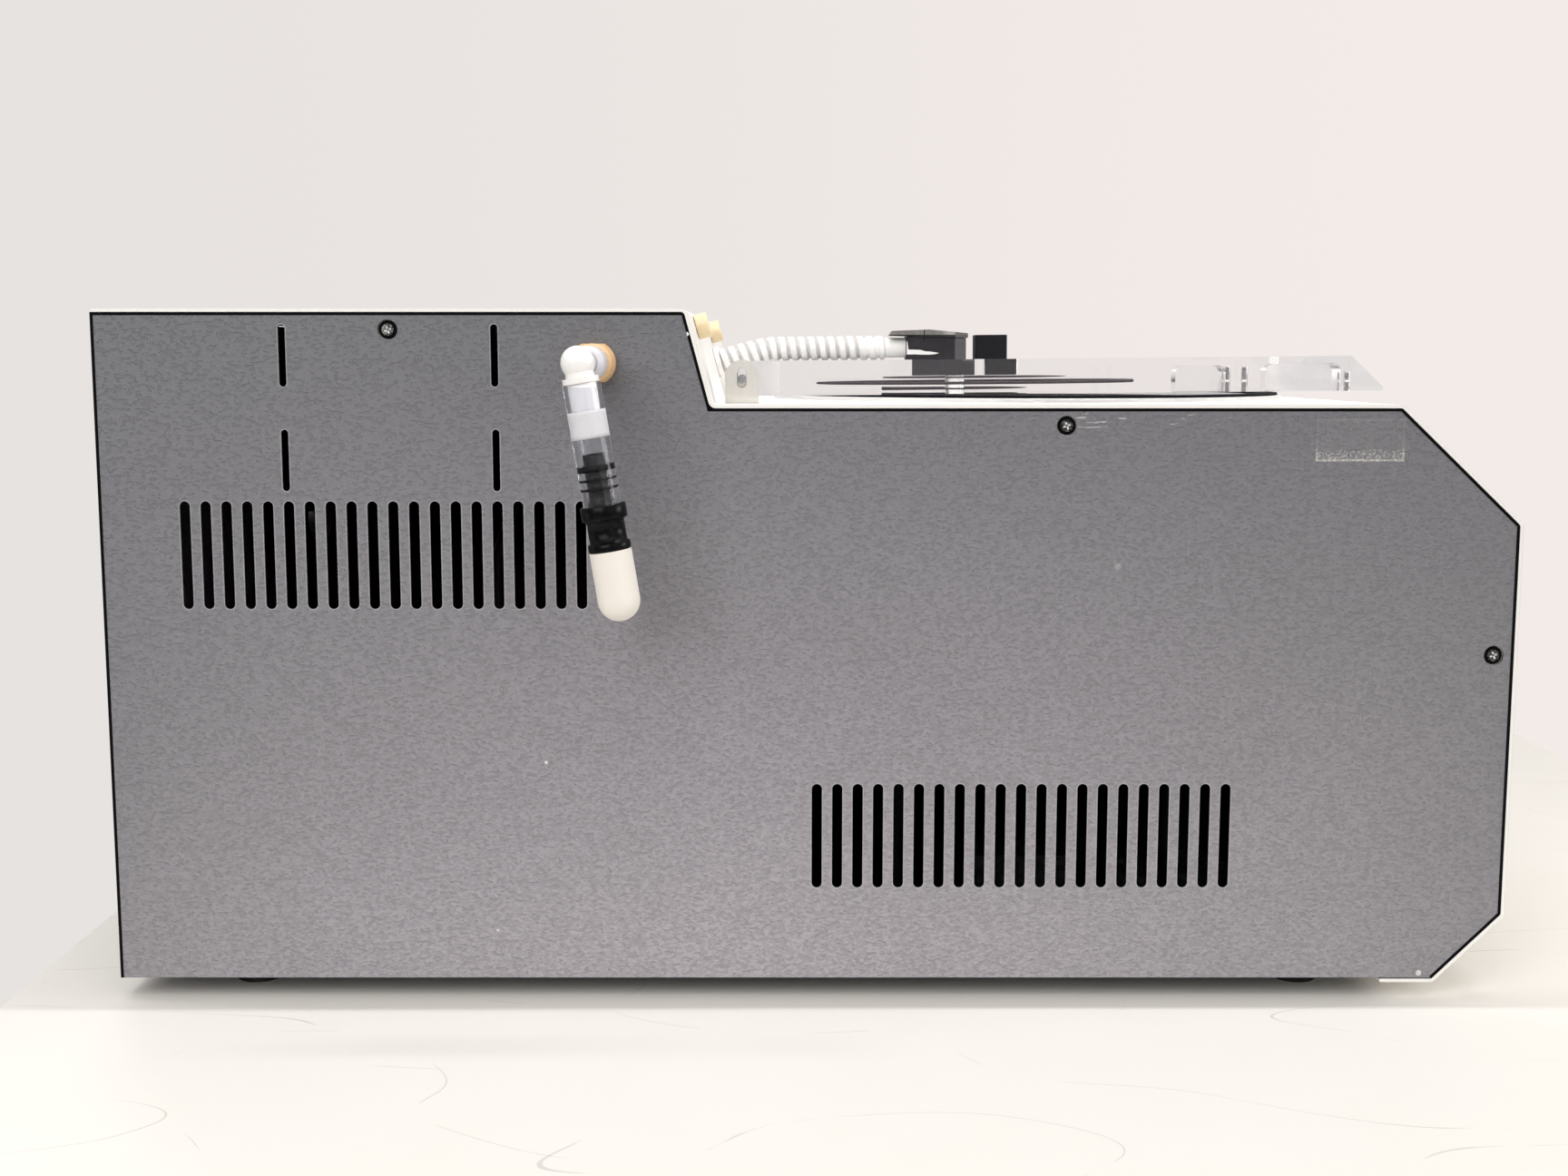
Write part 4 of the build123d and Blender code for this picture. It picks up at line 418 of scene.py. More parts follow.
# Top cover: one steel sheet bent over the top, slant, deck, bevels and front, in warm white powder coat.
cover = Finish("white_powder_coat", (0.90, 0.885, 0.845), Roughness=0.42)
cover_peel = cover.noise(0.0025, 2.0)
cover_grime = cover.noise(0.03, 5.0)
cover_tone = cover.blend(cover_grime, (0.865, 0.845, 0.80), (0.895, 0.88, 0.845))
cover.set(Base_Color=cover_tone, Roughness=0.36 + cover_peel * 0.16)
cover.relief(cover_peel, 0.00012, 0.0005)
dress(cover, "top_cover")


def add_mesh(name, points, faces, finish, smooth=True):
    """A new piece from points and faces, with its place in its mesh."""
    mesh = bpy.data.meshes.new(name)
    mesh.from_pydata(points, [], faces)
    mesh.materials.append(finish.material)
    mesh.polygons.foreach_set("use_smooth", [smooth] * len(faces))
    mesh.validate()
    return add_piece(name, mesh)


def face_outward(piece, merge=0):
    """Turn the faces outward, after merging points nearer than this to each other."""
    shape = bmesh.new()
    shape.from_mesh(piece.data)
    if merge:
        bmesh.ops.remove_doubles(shape, verts=shape.verts, dist=merge)
    bmesh.ops.recalc_face_normals(shape, faces=shape.faces)
    shape.to_mesh(piece.data)
    shape.free()


def prism(name, outline, near, depth, finish):
    """An outline of (x, z) in mm from the near panel's corner, standing at this y and this deep."""
    points = []
    for step in (0, depth):
        points += [(panel_low[0] + x * MM, near + step, panel_low[2] + z * MM) for x, z in outline]
    sides = len(outline)
    faces = [tuple(range(sides)), tuple(range(2 * sides - 1, sides - 1, -1))]
    for index in range(sides):
        beyond = (index + 1) % sides
        faces.append((index, index + sides, beyond + sides, beyond))
    return add_mesh(name, points, faces, finish, smooth=False)


# Lid gasket: dead black foam. Painted shade in the edge joints: a thin strip of the same black lies in the
# joint between each side panel and the edge of the cover, standing in for the shade in that gap, from the
# bottom of the rear up over the top and round to the bottom of the front. The near one has a pale nick near
# the top of the slant.
foam_and_gap_shade = Finish("black_foam", (0.003, 0.003, 0.004), Roughness=0.9, Specular_IOR_Level=0.1)
foam_x, foam_y, foam_z = foam_and_gap_shade.axes()
nick_place = (panel_low[0] + 268.8 * MM, panel_low[2] + 300.9 * MM)
nick_reach = abs(foam_x - nick_place[0]) + abs(foam_z - nick_place[1])
nick = nick_reach.below(0.0009, 0.0002) * foam_y.below(0, 0.001)
foam_and_gap_shade.tint(nick, (0.003, 0.003, 0.004), (0.88, 0.87, 0.84))
foam_and_gap_shade.relief(foam_and_gap_shade.noise(0.0008, 3.0), 0.00006)
dress(foam_and_gap_shade, "lid_gasket")
far_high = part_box("right_side_panel")[1]
gap_shade_corners = [
    (0, 0), (0, 310.2), (266.9, 310.2), (266.9 + 43.2 * tan(radians(15)), 267.0), (592.9, 267.0),
    (648.7, 214.0), (648.7, 31.0), (617.7, 0),
]
gap_shade_line = [Vector(corner) * MM for corner in gap_shade_corners]
gap_shade_inward = 0.8 * MM
gap_shade_outward = 0.58 * MM
gap_shade_proud = 0.2 * MM
gap_shade_depth = 1.2 * MM


def beside(line, distance):
    """An open line moved sideways by this distance, with its corners kept sharp."""
    moved = []
    for index, point in enumerate(line):
        after = line[min(index + 1, len(line) - 1)] - line[min(index, len(line) - 2)]
        before = line[max(index, 1)] - line[max(index - 1, 0)]
        across_before = Vector((-before.y, before.x)).normalized()
        across_after = Vector((-after.y, after.x)).normalized()
        across = (across_before + across_after).normalized()
        moved.append(point + across * distance / across.dot(across_before))
    return moved


# Painted shade: each strip is black to stand in for the shade in the gap between panel and cover.
for gap_shade_name, face_y, inward in (("near_edge_seal", panel_low[1], 1), ("far_edge_seal", far_high[1], -1)):
    gap_shade_rails = []
    for distance, step in (
        (gap_shade_outward, -gap_shade_proud),
        (gap_shade_outward, gap_shade_depth),
        (-gap_shade_inward, gap_shade_depth),
        (-gap_shade_inward, -gap_shade_proud),
    ):
        rail = beside(gap_shade_line, distance)
        gap_shade_rails.append([(panel_low[0] + x, face_y + inward * step, panel_low[2] + z) for x, z in rail])
    gap_shade_points = [point for rail in gap_shade_rails for point in rail]
    gap_shade_count = len(gap_shade_line)
    gap_shade_faces = [(0, gap_shade_count, 2 * gap_shade_count, 3 * gap_shade_count)]
    gap_shade_faces.append(tuple(corner + gap_shade_count - 1 for corner in reversed(gap_shade_faces[0])))
    for rail in range(4):
        beyond = (rail + 1) % 4
        for index in range(gap_shade_count - 1):
            first = rail * gap_shade_count + index
            second = beyond * gap_shade_count + index
            gap_shade_faces.append((first, first + 1, second + 1, second))
    gap_shade_strip = add_mesh(gap_shade_name, gap_shade_points, gap_shade_faces, foam_and_gap_shade, smooth=False)
    face_outward(gap_shade_strip)
    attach(gap_shade_strip, "case")


# Vent shade: black sheets inside the far panel, behind its two rows of vents, put there as painted shade so
# no light shows through the vents.
filter_foam = Finish("filter_foam", (0.006, 0.006, 0.006), Roughness=0.95, Specular_IOR_Level=0.1)
vent_shade_cells = filter_foam.node("ShaderNodeTexVoronoi", {}, {"Vector": filter_foam.place, "Scale": 900.0})
filter_foam.relief(vent_shade_cells, 0.0004)
for vent_shade_name, vent_shade_low, vent_shade_high in (
    ("rear_dust_screen", (0.030, 0.170), (0.240, 0.262)),
    ("front_dust_screen", (0.319, 0.038), (0.525, 0.099)),
):
    corner_low = (panel_low[0] + vent_shade_low[0], far_high[1] - 3.0 * MM, panel_low[2] + vent_shade_low[1])
    corner_high = (panel_low[0] + vent_shade_high[0], far_high[1] - 1.65 * MM, panel_low[2] + vent_shade_high[1])
    vent_shade_sheet = box(vent_shade_name, corner_low, corner_high, filter_foam)
    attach(vent_shade_sheet, "case")


def turn(name, profile, origin, axis, finish, sides=64):
    """A turned piece: the profile is (distance along the axis, radius) in mm, closed on itself."""
    origin = Vector(origin)
    axis = Vector(axis).normalized()
    across = axis.orthogonal().normalized()
    third = axis.cross(across)
    points = []
    for distance, radius in profile:
        for index in range(sides):
            angle = 2 * pi * index / sides
            out = across * cos(angle) + third * sin(angle)
            points.append(origin + axis * (distance * MM) + out * (radius * MM))
    rows = len(profile)
    faces = []
    for row in range(rows):
        after = (row + 1) % rows
        for index in range(sides):
            beyond = (index + 1) % sides
            corners = ((row, index), (row, beyond), (after, beyond), (after, index))
            faces.append([ring * sides + step for ring, step in corners])
    piece = add_mesh(name, points, faces, finish)
    face_outward(piece, 1e-7)
    return piece


class Shape(Graph):
    """A Geometry Nodes tree with named numbers, run on an object and turned into a plain mesh."""

    def __init__(self, name, inputs):
        super().__init__(bpy.data.node_groups.new(name, "GeometryNodeTree"))
        self.tree.interface.new_socket("Geometry", in_out="INPUT", socket_type="NodeSocketGeometry")
        self.tree.interface.new_socket("Geometry", in_out="OUTPUT", socket_type="NodeSocketGeometry")
        for socket_name, value in inputs.items():
            number = dict(in_out="INPUT", socket_type="NodeSocketFloat")
            self.tree.interface.new_socket(socket_name, **number).default_value = value
        self.inputs = self.tree.nodes.new("NodeGroupInput")
        self.outputs = self.tree.nodes.new("NodeGroupOutput")

    def input(self, name):
        return Wire(self, self.inputs.outputs[name])

    def finish(self, *parts):
        """Join the dressed parts and make their instances real."""
        joined = self.node("GeometryNodeJoinGeometry", {}, {})
        for part in reversed(parts):
            self.tree.links.new(part.socket, joined.socket.node.inputs[0])
        real = self.node("GeometryNodeRealizeInstances", {}, {0: joined})
        self.feed(self.outputs.inputs[0], real)

    def paint(self, geometry, finish, part=True):
        values = {"Geometry": geometry, "Selection": part, "Material": finish.material}
        return self.node("GeometryNodeSetMaterial", {}, values)

    def store(self, geometry, name, value):
        """Store a value on the points of a geometry, as an attribute of this name."""
        settings = {"data_type": "FLOAT", "domain": "POINT"}
        values = {"Geometry": geometry, "Name": name, "Value": value}
        return self.node("GeometryNodeStoreNamedAttribute", settings, values)

    def stored(self, name, kind="FLOAT"):
        return self.node("GeometryNodeInputNamedAttribute", {"data_type": kind}, {"Name": name})

    def circle(self, radius):
        values = {"Resolution": 48, "Radius": radius}
        return self.node("GeometryNodeCurvePrimitiveCircle", {}, values)

    def make(self, source, name):
        """Run the tree on the source object and return its result as a piece of its own."""
        step = source.modifiers.new("shape", "NODES")
        step.node_group = self.tree
        bpy.context.view_layer.update()
        made = source.evaluated_get(bpy.context.evaluated_depsgraph_get())
        mesh = bpy.data.meshes.new_from_object(made)
        source.modifiers.remove(step)
        bpy.data.objects.remove(source)
        return add_piece(name, mesh)


# Case screws: small steel heads with a cross recess, each on a black washer at the bottom of its hole in
# a side panel, and one let into each foot from below.
screw_steel = Finish("screw_steel", (0.05, 0.05, 0.05), Metallic=1.0, Roughness=0.3)
screw_rub = screw_steel.noise(0.0008, 3.0)
screw_steel.tint(screw_rub.above(0.62, 0.2), (0.03, 0.03, 0.03), (0.30, 0.295, 0.29))
screw_steel.relief(screw_rub, 0.00004, 0.0003)
flat_black = dict(Roughness=0.8, Specular_IOR_Level=0.1)
washer_black = grained("black_washer", [(0.003, 0.003, 0.003)], (0.0006,), 0.00003, **flat_black)
screw_places = []
for screw_x, screw_z in ((133.5, 302.9), (441.1, 259.7), (640.1, 154.0)):
    for screw_side in (-1, 1):
        screw_y = middle_y + screw_side * 182.05 * MM
        screw_at = (panel_low[0] + screw_x * MM, screw_y, panel_low[2] + screw_z * MM)
        screw_places.append((screw_at, (0, screw_side, 0)))
for foot_x in (56.0, 562.0):
    for foot_side in (-1, 1):
        foot_y = middle_y + foot_side * 151.0 * MM
        foot_at = (panel_low[0] + foot_x * MM, foot_y, 5.9 * MM)
        screw_places.append((foot_at, (0, 0, -1)))
screw_points = bpy.data.meshes.new("screw_points")
screw_points.from_pydata([place for place, way in screw_places], [], [])
screw_ways = screw_points.attributes.new("way", "FLOAT_VECTOR", "POINT")
for way, (place, direction) in zip(screw_ways.data, screw_places):
    way.vector = direction
screw_source = add_piece("screw_points", screw_points)
screw_inputs = {
    "Head Radius": 2.7 * MM,
    "Head Height": 1.1 * MM,
    "Washer Radius": 4.3 * MM,
    "Shank Radius": 2.0 * MM,
    "Shank Length": 7.0 * MM,
    "Recess Length": 3.6 * MM,
    "Recess Width": 0.9 * MM,
}
screw_shape = Shape("screw_shape", screw_inputs)


def screw_disc(radius, depth, middle, finish):
    """A cylinder along the screw's axis, its middle this far above the seat."""
    sizes = {"Vertices": 32, "Radius": radius, "Depth": depth}
    disc = screw_shape.node("GeometryNodeMeshCylinder", {}, sizes)
    lifted = screw_shape.node("ShaderNodeCombineXYZ", {}, {2: middle})
    disc = screw_shape.node("GeometryNodeTransform", {}, {"Geometry": disc, "Translation": lifted})
    return screw_shape.paint(disc, finish)


head_height = screw_shape.input("Head Height")
shank_length = screw_shape.input("Shank Length")
washer_height = 0.2 * MM
head_middle = head_height * 0.5 + washer_height
screw_head = screw_disc(screw_shape.input("Head Radius"), head_height, head_middle, screw_steel)
recess_at = screw_shape.node("ShaderNodeCombineXYZ", {}, {2: head_height + washer_height})
for recess_turn in (0.35, 0.35 + pi / 2):
    recess_sizes = {0: screw_shape.input("Recess Length"), 1: screw_shape.input("Recess Width")}
    recess_sizes[2] = head_height * 1.4
    recess_size = screw_shape.node("ShaderNodeCombineXYZ", {}, recess_sizes)
    recess = screw_shape.node("GeometryNodeMeshCube", {}, {"Size": recess_size})
    recess_values = {"Geometry": recess, "Translation": recess_at, "Rotation": (0, 0, recess_turn)}
    recess = screw_shape.node("GeometryNodeTransform", {}, recess_values)
    cut = screw_shape.node("GeometryNodeMeshBoolean", {"operation": "DIFFERENCE"}, {"Mesh 1": screw_head})
    screw_shape.tree.links.new(recess.socket, cut.socket.node.inputs["Mesh 2"])
    screw_head = cut
washer_radius = screw_shape.input("Washer Radius")
screw_washer = screw_disc(washer_radius, washer_height, washer_height / 2, washer_black)
screw_shank = screw_disc(screw_shape.input("Shank Radius"), shank_length, shank_length * -0.5, screw_steel)
one_screw = screw_shape.node("GeometryNodeJoinGeometry", {}, {})
for part in (screw_head, screw_washer, screw_shank):
    screw_shape.tree.links.new(part.socket, one_screw.socket.node.inputs[0])
screw_way = screw_shape.stored("way", "FLOAT_VECTOR")
screw_turn = screw_shape.node("FunctionNodeAlignRotationToVector", {"axis": "Z"}, {"Vector": screw_way})
screw_values = {"Points": screw_shape.input("Geometry"), "Instance": one_screw, "Rotation": screw_turn}
screw_shape.finish(screw_shape.node("GeometryNodeInstanceOnPoints", {}, screw_values))
screws = screw_shape.make(screw_source, "recessed_screws")
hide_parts("case_screws")
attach(screws, "case")

# Bowl, its heater band and the ring round its mouth.
bowl_coat = Finish("bowl_coating", (0.022, 0.021, 0.022), Roughness=0.36)
bowl_speck = bowl_coat.noise(0.0015, 2.0)
bowl_coat.tint(bowl_speck.above(0.66, 0.05), (0.018, 0.017, 0.018), (0.06, 0.058, 0.056))
bowl_coat.relief(bowl_speck, 0.00008)
dress(bowl_coat, "chamber_bowl")
silicone = grained("heater_silicone", [(0.42, 0.11, 0.04)], (0.0012,), 0.0001, Roughness=0.6)
dress(silicone, "band_heater")
ring_tones = [(0.42, 0.41, 0.405), (0.54, 0.53, 0.525)]
satin = dict(Metallic=0.1, Roughness=0.42)
ring_metal = grained("satin_pale_ring", ring_tones, (0.0008,), 0.00003, 0.0004, **satin)
dress(ring_metal, "chamber_ring")

# Turned steel: shaft, bearings, motor stack, spacers and hinge pins.
steel = Finish("turned_steel", (0.62, 0.62, 0.63), Metallic=1.0, Roughness=0.24)
steel_marks = steel.noise(0.0007, 2.0, stretch=(1, 1, 6))
steel.tint(steel_marks, (0.50, 0.50, 0.51), (0.74, 0.74, 0.75))
steel.set(Roughness=0.16 + steel_marks * 0.2)
steel.relief(steel_marks, 0.00002)
dress(steel, "motor_bearings", "drive_shaft", "motor_rotor", "rotor_spacers", "hinge_pins")

# Blackened steel: the posts under the bowl and the fan's guard, made near black as painted shade so no
# glint shows through the vents. The set screws in the lid are browned
# by age, each with a painted highlight: a pale band round it at one height.
blackened_shade_tones = [(0.008, 0.008, 0.009), (0.02, 0.02, 0.021)]
black_steel = grained("black_oxide", blackened_shade_tones, (0.0012, 3.0), 0.00004, Metallic=0.4, Roughness=0.5)
dress(black_steel, "bowl_posts", "fan_guard")
brown_steel = Finish("browned_steel", (0.10, 0.085, 0.088), Roughness=0.5)
brown_z = brown_steel.axes()[2]
brown_thread = (brown_z / 0.0008).fraction()
brown_spots = brown_steel.noise(0.0009, 3.0)
brown_tone = brown_steel.blend(brown_spots, (0.05, 0.042, 0.045), (0.26, 0.225, 0.23))
# Painted highlight: a pale band at one height round each screw.
brown_highlight_band = abs(brown_z - 0.2895).below(0.0004, 0.0003)
brown_steel.tint(brown_highlight_band, brown_tone, (0.80, 0.78, 0.76))
brown_steel.relief(abs(brown_thread - 0.5), 0.0003)
dress(brown_steel, "lid_screws")

# Motor housing: black enamel over a casting.
enamel = grained("black_enamel", [(0.03, 0.03, 0.032)], (0.002, 3.0), 0.0002, Roughness=0.35)
dress(enamel, "motor_housing")

# Rotor: anodised aluminium plates on a hub, with faint turning rings.
anodised = Finish("anodised_aluminium", (0.66, 0.66, 0.67), Metallic=1.0, Roughness=0.32)
rotor_axis = (*joint_place["rotor_spin"][:2], 0)
rotor_reach = anodised.reach(anodised.flat(*anodised.axes()[:2]), rotor_axis)
ring_values = {"W": rotor_reach, "Scale": 2500.0, "Detail": 1.0}
rotor_rings = anodised.node("ShaderNodeTexNoise", {"noise_dimensions": "1D"}, ring_values)
anodised.tint(rotor_rings, (0.55, 0.55, 0.56), (0.75, 0.75, 0.76))
anodised.set(Roughness=0.2 + rotor_rings * 0.2)
anodised.relief(rotor_rings, 0.00003)
dress(anodised, "rotor_hub", "rotor_base_plate", "tube_plate")

# Black moulded plastic: rotor knob, fan, inlet, mains switch and valve bodies.
black_plastic = Finish("black_plastic", (0.016, 0.016, 0.017), Roughness=0.36)
plastic_grain = black_plastic.noise(0.0011, 2.0)
black_plastic.set(Roughness=0.3 + plastic_grain * 0.18)
black_plastic.relief(plastic_grain, 0.00006, 0.0004)
dress(black_plastic, "rotor_knob", "fan_frame", "fan_rotor", "power_inlet", "switch_frame")
dress(black_plastic, "power_rocker", "valve_bodies")

# Pump and its tubes: castings made near black, and smoky flexible tube nearly as dark, both as painted
# shade so the inside looks dark through the vents.
casting_tones = [(0.009, 0.009, 0.010), (0.018, 0.018, 0.019)]
casting = grained("painted_casting", casting_tones, (0.0018, 3.0), 0.0003, Roughness=0.5)
dress(casting, "pump_body", "pump_heads")
smoky = dict(Roughness=0.35, Transmission_Weight=0.2, IOR=1.42)
tubing = grained("pump_tubing", [(0.02, 0.02, 0.02)], (0.003,), 0.00005, **smoky)
dress(tubing, "pump_tubes")

# Lid: a thick plate of polished acrylic with finger pockets milled in its underside, their walls left
# faintly hazy by the cutter, and fine dark rings set inside it round the boot's foot as painted reflections
# of the dark boot and block. The notches that clear the hinge brackets and the hole for the elbow's tail
# are hazy too.
acrylic = Finish("clear_acrylic", (0.955, 0.957, 0.968), Roughness=0.0, Transmission_Weight=1.0, IOR=1.49)
acrylic_x, acrylic_y = acrylic.axes()[:2]
pin_place = joint_place["lid_hinge"]
pocket_near = acrylic_y.above(middle_y - 134.9 * MM, 0.2 * MM)
pocket_near = pocket_near * acrylic_y.below(middle_y - 120.1 * MM, 0.2 * MM)
frosted_share = 0
for pocket_start, pocket_end in ((0.2066, 0.2314), (0.2496, 0.2864)):
    pocket_along = acrylic_x.above(pin_place[0] + pocket_start, 0.0002)
    pocket_along = pocket_along * acrylic_x.below(pin_place[0] + pocket_end, 0.0002)
    frosted_share = pocket_along * pocket_near + frosted_share
acrylic_wear = acrylic.noise(0.004, 4.0).above(0.72, 0.05)
notch_near = abs(acrylic_y - middle_y).above(0.120, 0.0005)
notch_near = notch_near * acrylic_x.below(pin_place[0] + 0.0165, 0.001)
elbow_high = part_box("lid_elbow")[1]
tail_place = (elbow_high[0] - 4.9 * MM, middle_y, 0)
tail_near = acrylic.reach(acrylic.flat(acrylic_x, acrylic_y), tail_place).below(6.5 * MM, 1.0 * MM)
acrylic.set(Roughness=frosted_share * 0.14 + acrylic_wear * 0.05 + notch_near * 0.4 + tail_near * 0.35)
acrylic.let_light_through(0.85)
acrylic.relief(acrylic.noise(0.03, 1.0), 0.00004)
dress(acrylic, "lid_plate")

# Painted reflection: these dark rings inside the lid stand in for the dark reflections of the boot and
# block seen in it.
lid_reflection_dark = Finish("dark_ring_dust", (0.035, 0.028, 0.032), Roughness=0.8)
lid_reflection_grain = lid_reflection_dark.noise(0.0012, 4.0)
lid_reflection_dark.tint(lid_reflection_grain, (0.010, 0.007, 0.009), (0.075, 0.060, 0.065))
lid_tilt = radians(0.5)
# Each ring's middle, radius, height and half thickness at rear, flank and front, in mm.
lid_rings = {
    "lid_ring_upper": (89.5, 48, 290.8, (0.32, 0.42, 0.05)),
    "lid_ring_middle": (89.5, 83, 288.2, (0.50, 0.75, 0.80)),
    "lid_ring_lower": (79.0, 38, 284.9, (0.95, 0.45, 0.05)),
}
lid_ring_wide = 0.6
lid_ring_sides = 128
for ring_name, (ring_middle, ring_reach, ring_height, ring_halves) in lid_rings.items():
    ring_rear, ring_flank, ring_front = ring_halves
    ring_points = []
    ring_faces = []
    for index in range(lid_ring_sides):
        angle = 2 * pi * index / lid_ring_sides
        end = ring_front if cos(angle) > 0 else ring_rear
        half = end + (ring_flank - end) * abs(sin(angle))
        for reach, lift in ((0, half), (lid_ring_wide, 0), (0, -half), (-lid_ring_wide, 0)):
            forward = (ring_reach + reach) * cos(angle)
            sideways = middle_y + (ring_reach + reach) * sin(angle) * MM
            upward = ring_height + lift + forward * tan(lid_tilt)
            ring_points.append(((ring_middle + forward) * MM, sideways, upward * MM))
        for corner in range(4):
            first = 4 * index + corner
            second = 4 * index + (corner + 1) % 4
            onward = [(point + 4) % (4 * lid_ring_sides) for point in (second, first)]
            ring_faces.append((second, first, onward[1], onward[0]))
    lid_ring = add_mesh(ring_name, ring_points, ring_faces, lid_reflection_dark)
    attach(lid_ring, "lid")

# Hinge brackets: milled from frosted translucent plastic and screwed to the deck. The slot for the pin is
# painted darker inside and darkest round its wall, as painted shade in the recess.
frosted = Finish("frosted_plastic", (0.80, 0.775, 0.73), Roughness=0.4, Transmission_Weight=0.45, IOR=1.3)
frosted_mill = frosted.noise(0.0018, 3.0, stretch=(1, 1, 0.3))
frosted_x, _, frosted_z = frosted.axes()
slot_side = frosted_x - pin_place[0]
slot_up = (abs(frosted_z - pin_place[2]) - 2.0 * MM).larger(0)
slot_reach = frosted.diagonal(slot_side, slot_up)
slot_wall_shade = abs(slot_reach - 1.9 * MM).below(0.25 * MM, 0.2 * MM)
frosted_tone = frosted.blend(frosted_mill, (0.75, 0.725, 0.68), (0.85, 0.83, 0.79))
# Painted shade: the inside of the slot and its wall are painted darker.
frosted_tone = frosted.blend(slot_reach.below(1.9 * MM, 0.2 * MM) * 0.6, frosted_tone, (0.50, 0.47, 0.43))
frosted.tint(slot_wall_shade * 0.75, frosted_tone, (0.27, 0.25, 0.23))
frosted.relief(frosted_mill, 0.00006, 0.0005)
dress(frosted, "hinge_bracket_left", "hinge_bracket_right")

# White moulded plastic: lid elbow and cuff.
white_tones = [(0.90, 0.875, 0.835), (0.94, 0.925, 0.90)]
white_plastic = grained("white_plastic", white_tones, (0.003, 3.0), 0.00005, 0.0003, Roughness=0.28)
dress(white_plastic, "lid_elbow", "hose_cuff")

# Far edge of the slanted face: a strip of the same black stands proud of the joint with the far panel, as
# painted shade for the dark gap there.
far_gap_shade_outline = [(275.2, 280.0), (276.6, 280.0), (271.0, 300.8), (269.6, 300.8)]
far_gap_shade_deep = 1.0 * MM
far_gap_shade_strip = prism("far_slant_strip", far_gap_shade_outline, far_high[1] - far_gap_shade_deep, far_gap_shade_deep, foam_and_gap_shade)
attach(far_gap_shade_strip, "case")

# Hose port: the same white plastic, seated on the slanted face over a thin black gasket; its tail inside
# the case is painted black as painted shade.
port_plastic = Finish("port_plastic", (0.90, 0.88, 0.845), Roughness=0.3)
port_x, _, port_z = port_plastic.axes()
slant_lean = radians(15)
slant_top_x = panel_low[0] + 266.9 * MM
slant_reach = (port_x - slant_top_x) * cos(slant_lean) + (port_z - panel_high[2]) * sin(slant_lean)
port_grain = port_plastic.noise(0.003, 3.0)
port_tone = port_plastic.blend(port_grain, (0.88, 0.86, 0.82), (0.93, 0.915, 0.89))
# Black from 2.2 mm out from the slanted face inwards: the gasket, and the tail inside the case painted
# black as painted shade.
port_plastic.tint(slant_reach.below(0.0022, 0.0002), port_tone, (0.004, 0.004, 0.004))
port_plastic.relief(port_grain, 0.00005, 0.0003)
dress(port_plastic, "hose_port")

# Lid hose: clear soft plastic with a broad white rib wound round it, from the port in the slanted face
# to the cuff. Near the cuff the gaps between the ribs are white too.
soft_clear = dict(Roughness=0.3, Transmission_Weight=0.25, IOR=1.2)
hose_clear = grained("hose_clear", [(0.76, 0.73, 0.71)], (0.002, 3.0), 0.00008, **soft_clear)
hose_white = Finish("hose_rib", (0.93, 0.92, 0.895), Roughness=0.3)
hose_tone = hose_white.noise(0.004, 3.0)
hose_white.tint(hose_tone, (0.91, 0.895, 0.865), (0.95, 0.945, 0.93))
hose_white.relief(hose_white.noise(0.0015, 2.0), 0.00005)
hose_line = [
    (-0.045633, middle_y, 0.298976),
    (-0.033076, middle_y, 0.302341),
    (-0.020386, middle_y, 0.305741),
    (-0.007241, middle_y, 0.305857),
    (0.044557, middle_y, 0.306309),
]
hose_data = bpy.data.curves.new("hose_line", "CURVE")
hose_data.dimensions = "3D"
hose_spline = hose_data.splines.new("NURBS")
hose_spline.points.add(len(hose_line) - 1)
for point, place in zip(hose_spline.points, hose_line):
    point.co = (*place, 1)
hose_spline.order_u = 3
hose_spline.use_endpoint_u = True
hose_spline.resolution_u = 24
hose_guide = add_piece("hose_line", hose_data)
hose_read = bpy.data.meshes.new_from_object(hose_guide)
hose_path = [tuple(vertex.co) for vertex in hose_read.vertices]
hose_length = sum((Vector(b) - Vector(a)).length for a, b in zip(hose_path, hose_path[1:]))
bpy.data.meshes.remove(hose_read)

hose_inputs = {
    "Valley Radius": 5.5 * MM,
    "Rib Height": 1.0 * MM,
    "Bore Radius": 4.6 * MM,
    "Pitch": 5.4 * MM,
    "Rib Share": 0.63,
    "White From": hose_length - 12 * MM,
    "Length": hose_length,
}
coil = Shape("hose_shape", hose_inputs)
valley_radius = coil.input("Valley Radius")
bore_radius = coil.input("Bore Radius")
hose_fine = coil.node("GeometryNodeResampleCurve", {}, {"Curve": coil.input("Geometry"), "Count": 300})
along = coil.node("GeometryNodeSplineParameter", {}, {}, "Length")
round_share = coil.node("GeometryNodeSplineParameter", {}, {}, "Factor")
hose_ring = coil.store(coil.circle(valley_radius), "round", round_share)
skin_values = {"Curve": coil.store(hose_fine, "run", along), "Profile Curve": hose_ring}
skin = coil.node("GeometryNodeCurveToMesh", {}, skin_values)
run = coil.stored("run")
turn_share = (run / coil.input("Pitch") - coil.stored("round")).fraction()
rib_off_middle = abs(turn_share - 0.5) * 2
rib_lift = rib_off_middle.below(coil.input("Rib Share") - 0.06, 0.12)
hose_end = run.below(0.0001, 0.0001) + run.above(coil.input("Length") - 0.0001, 0.0001)
outward = coil.node("GeometryNodeInputNormal", {}, {})
lift = rib_lift * coil.input("Rib Height") * (1 - hose_end) - hose_end * (valley_radius - bore_radius)
shift = coil.node("ShaderNodeVectorMath", {"operation": "SCALE"}, {0: outward, "Scale": lift})
skin = coil.store(skin, "rib", rib_lift)
skin = coil.node("GeometryNodeSetPosition", {}, {"Geometry": skin, "Offset": shift})
white_share = coil.stored("rib") + run.above(coil.input("White From"), 0.5 * MM)
white_test = {"data_type": "FLOAT", "operation": "GREATER_THAN"}
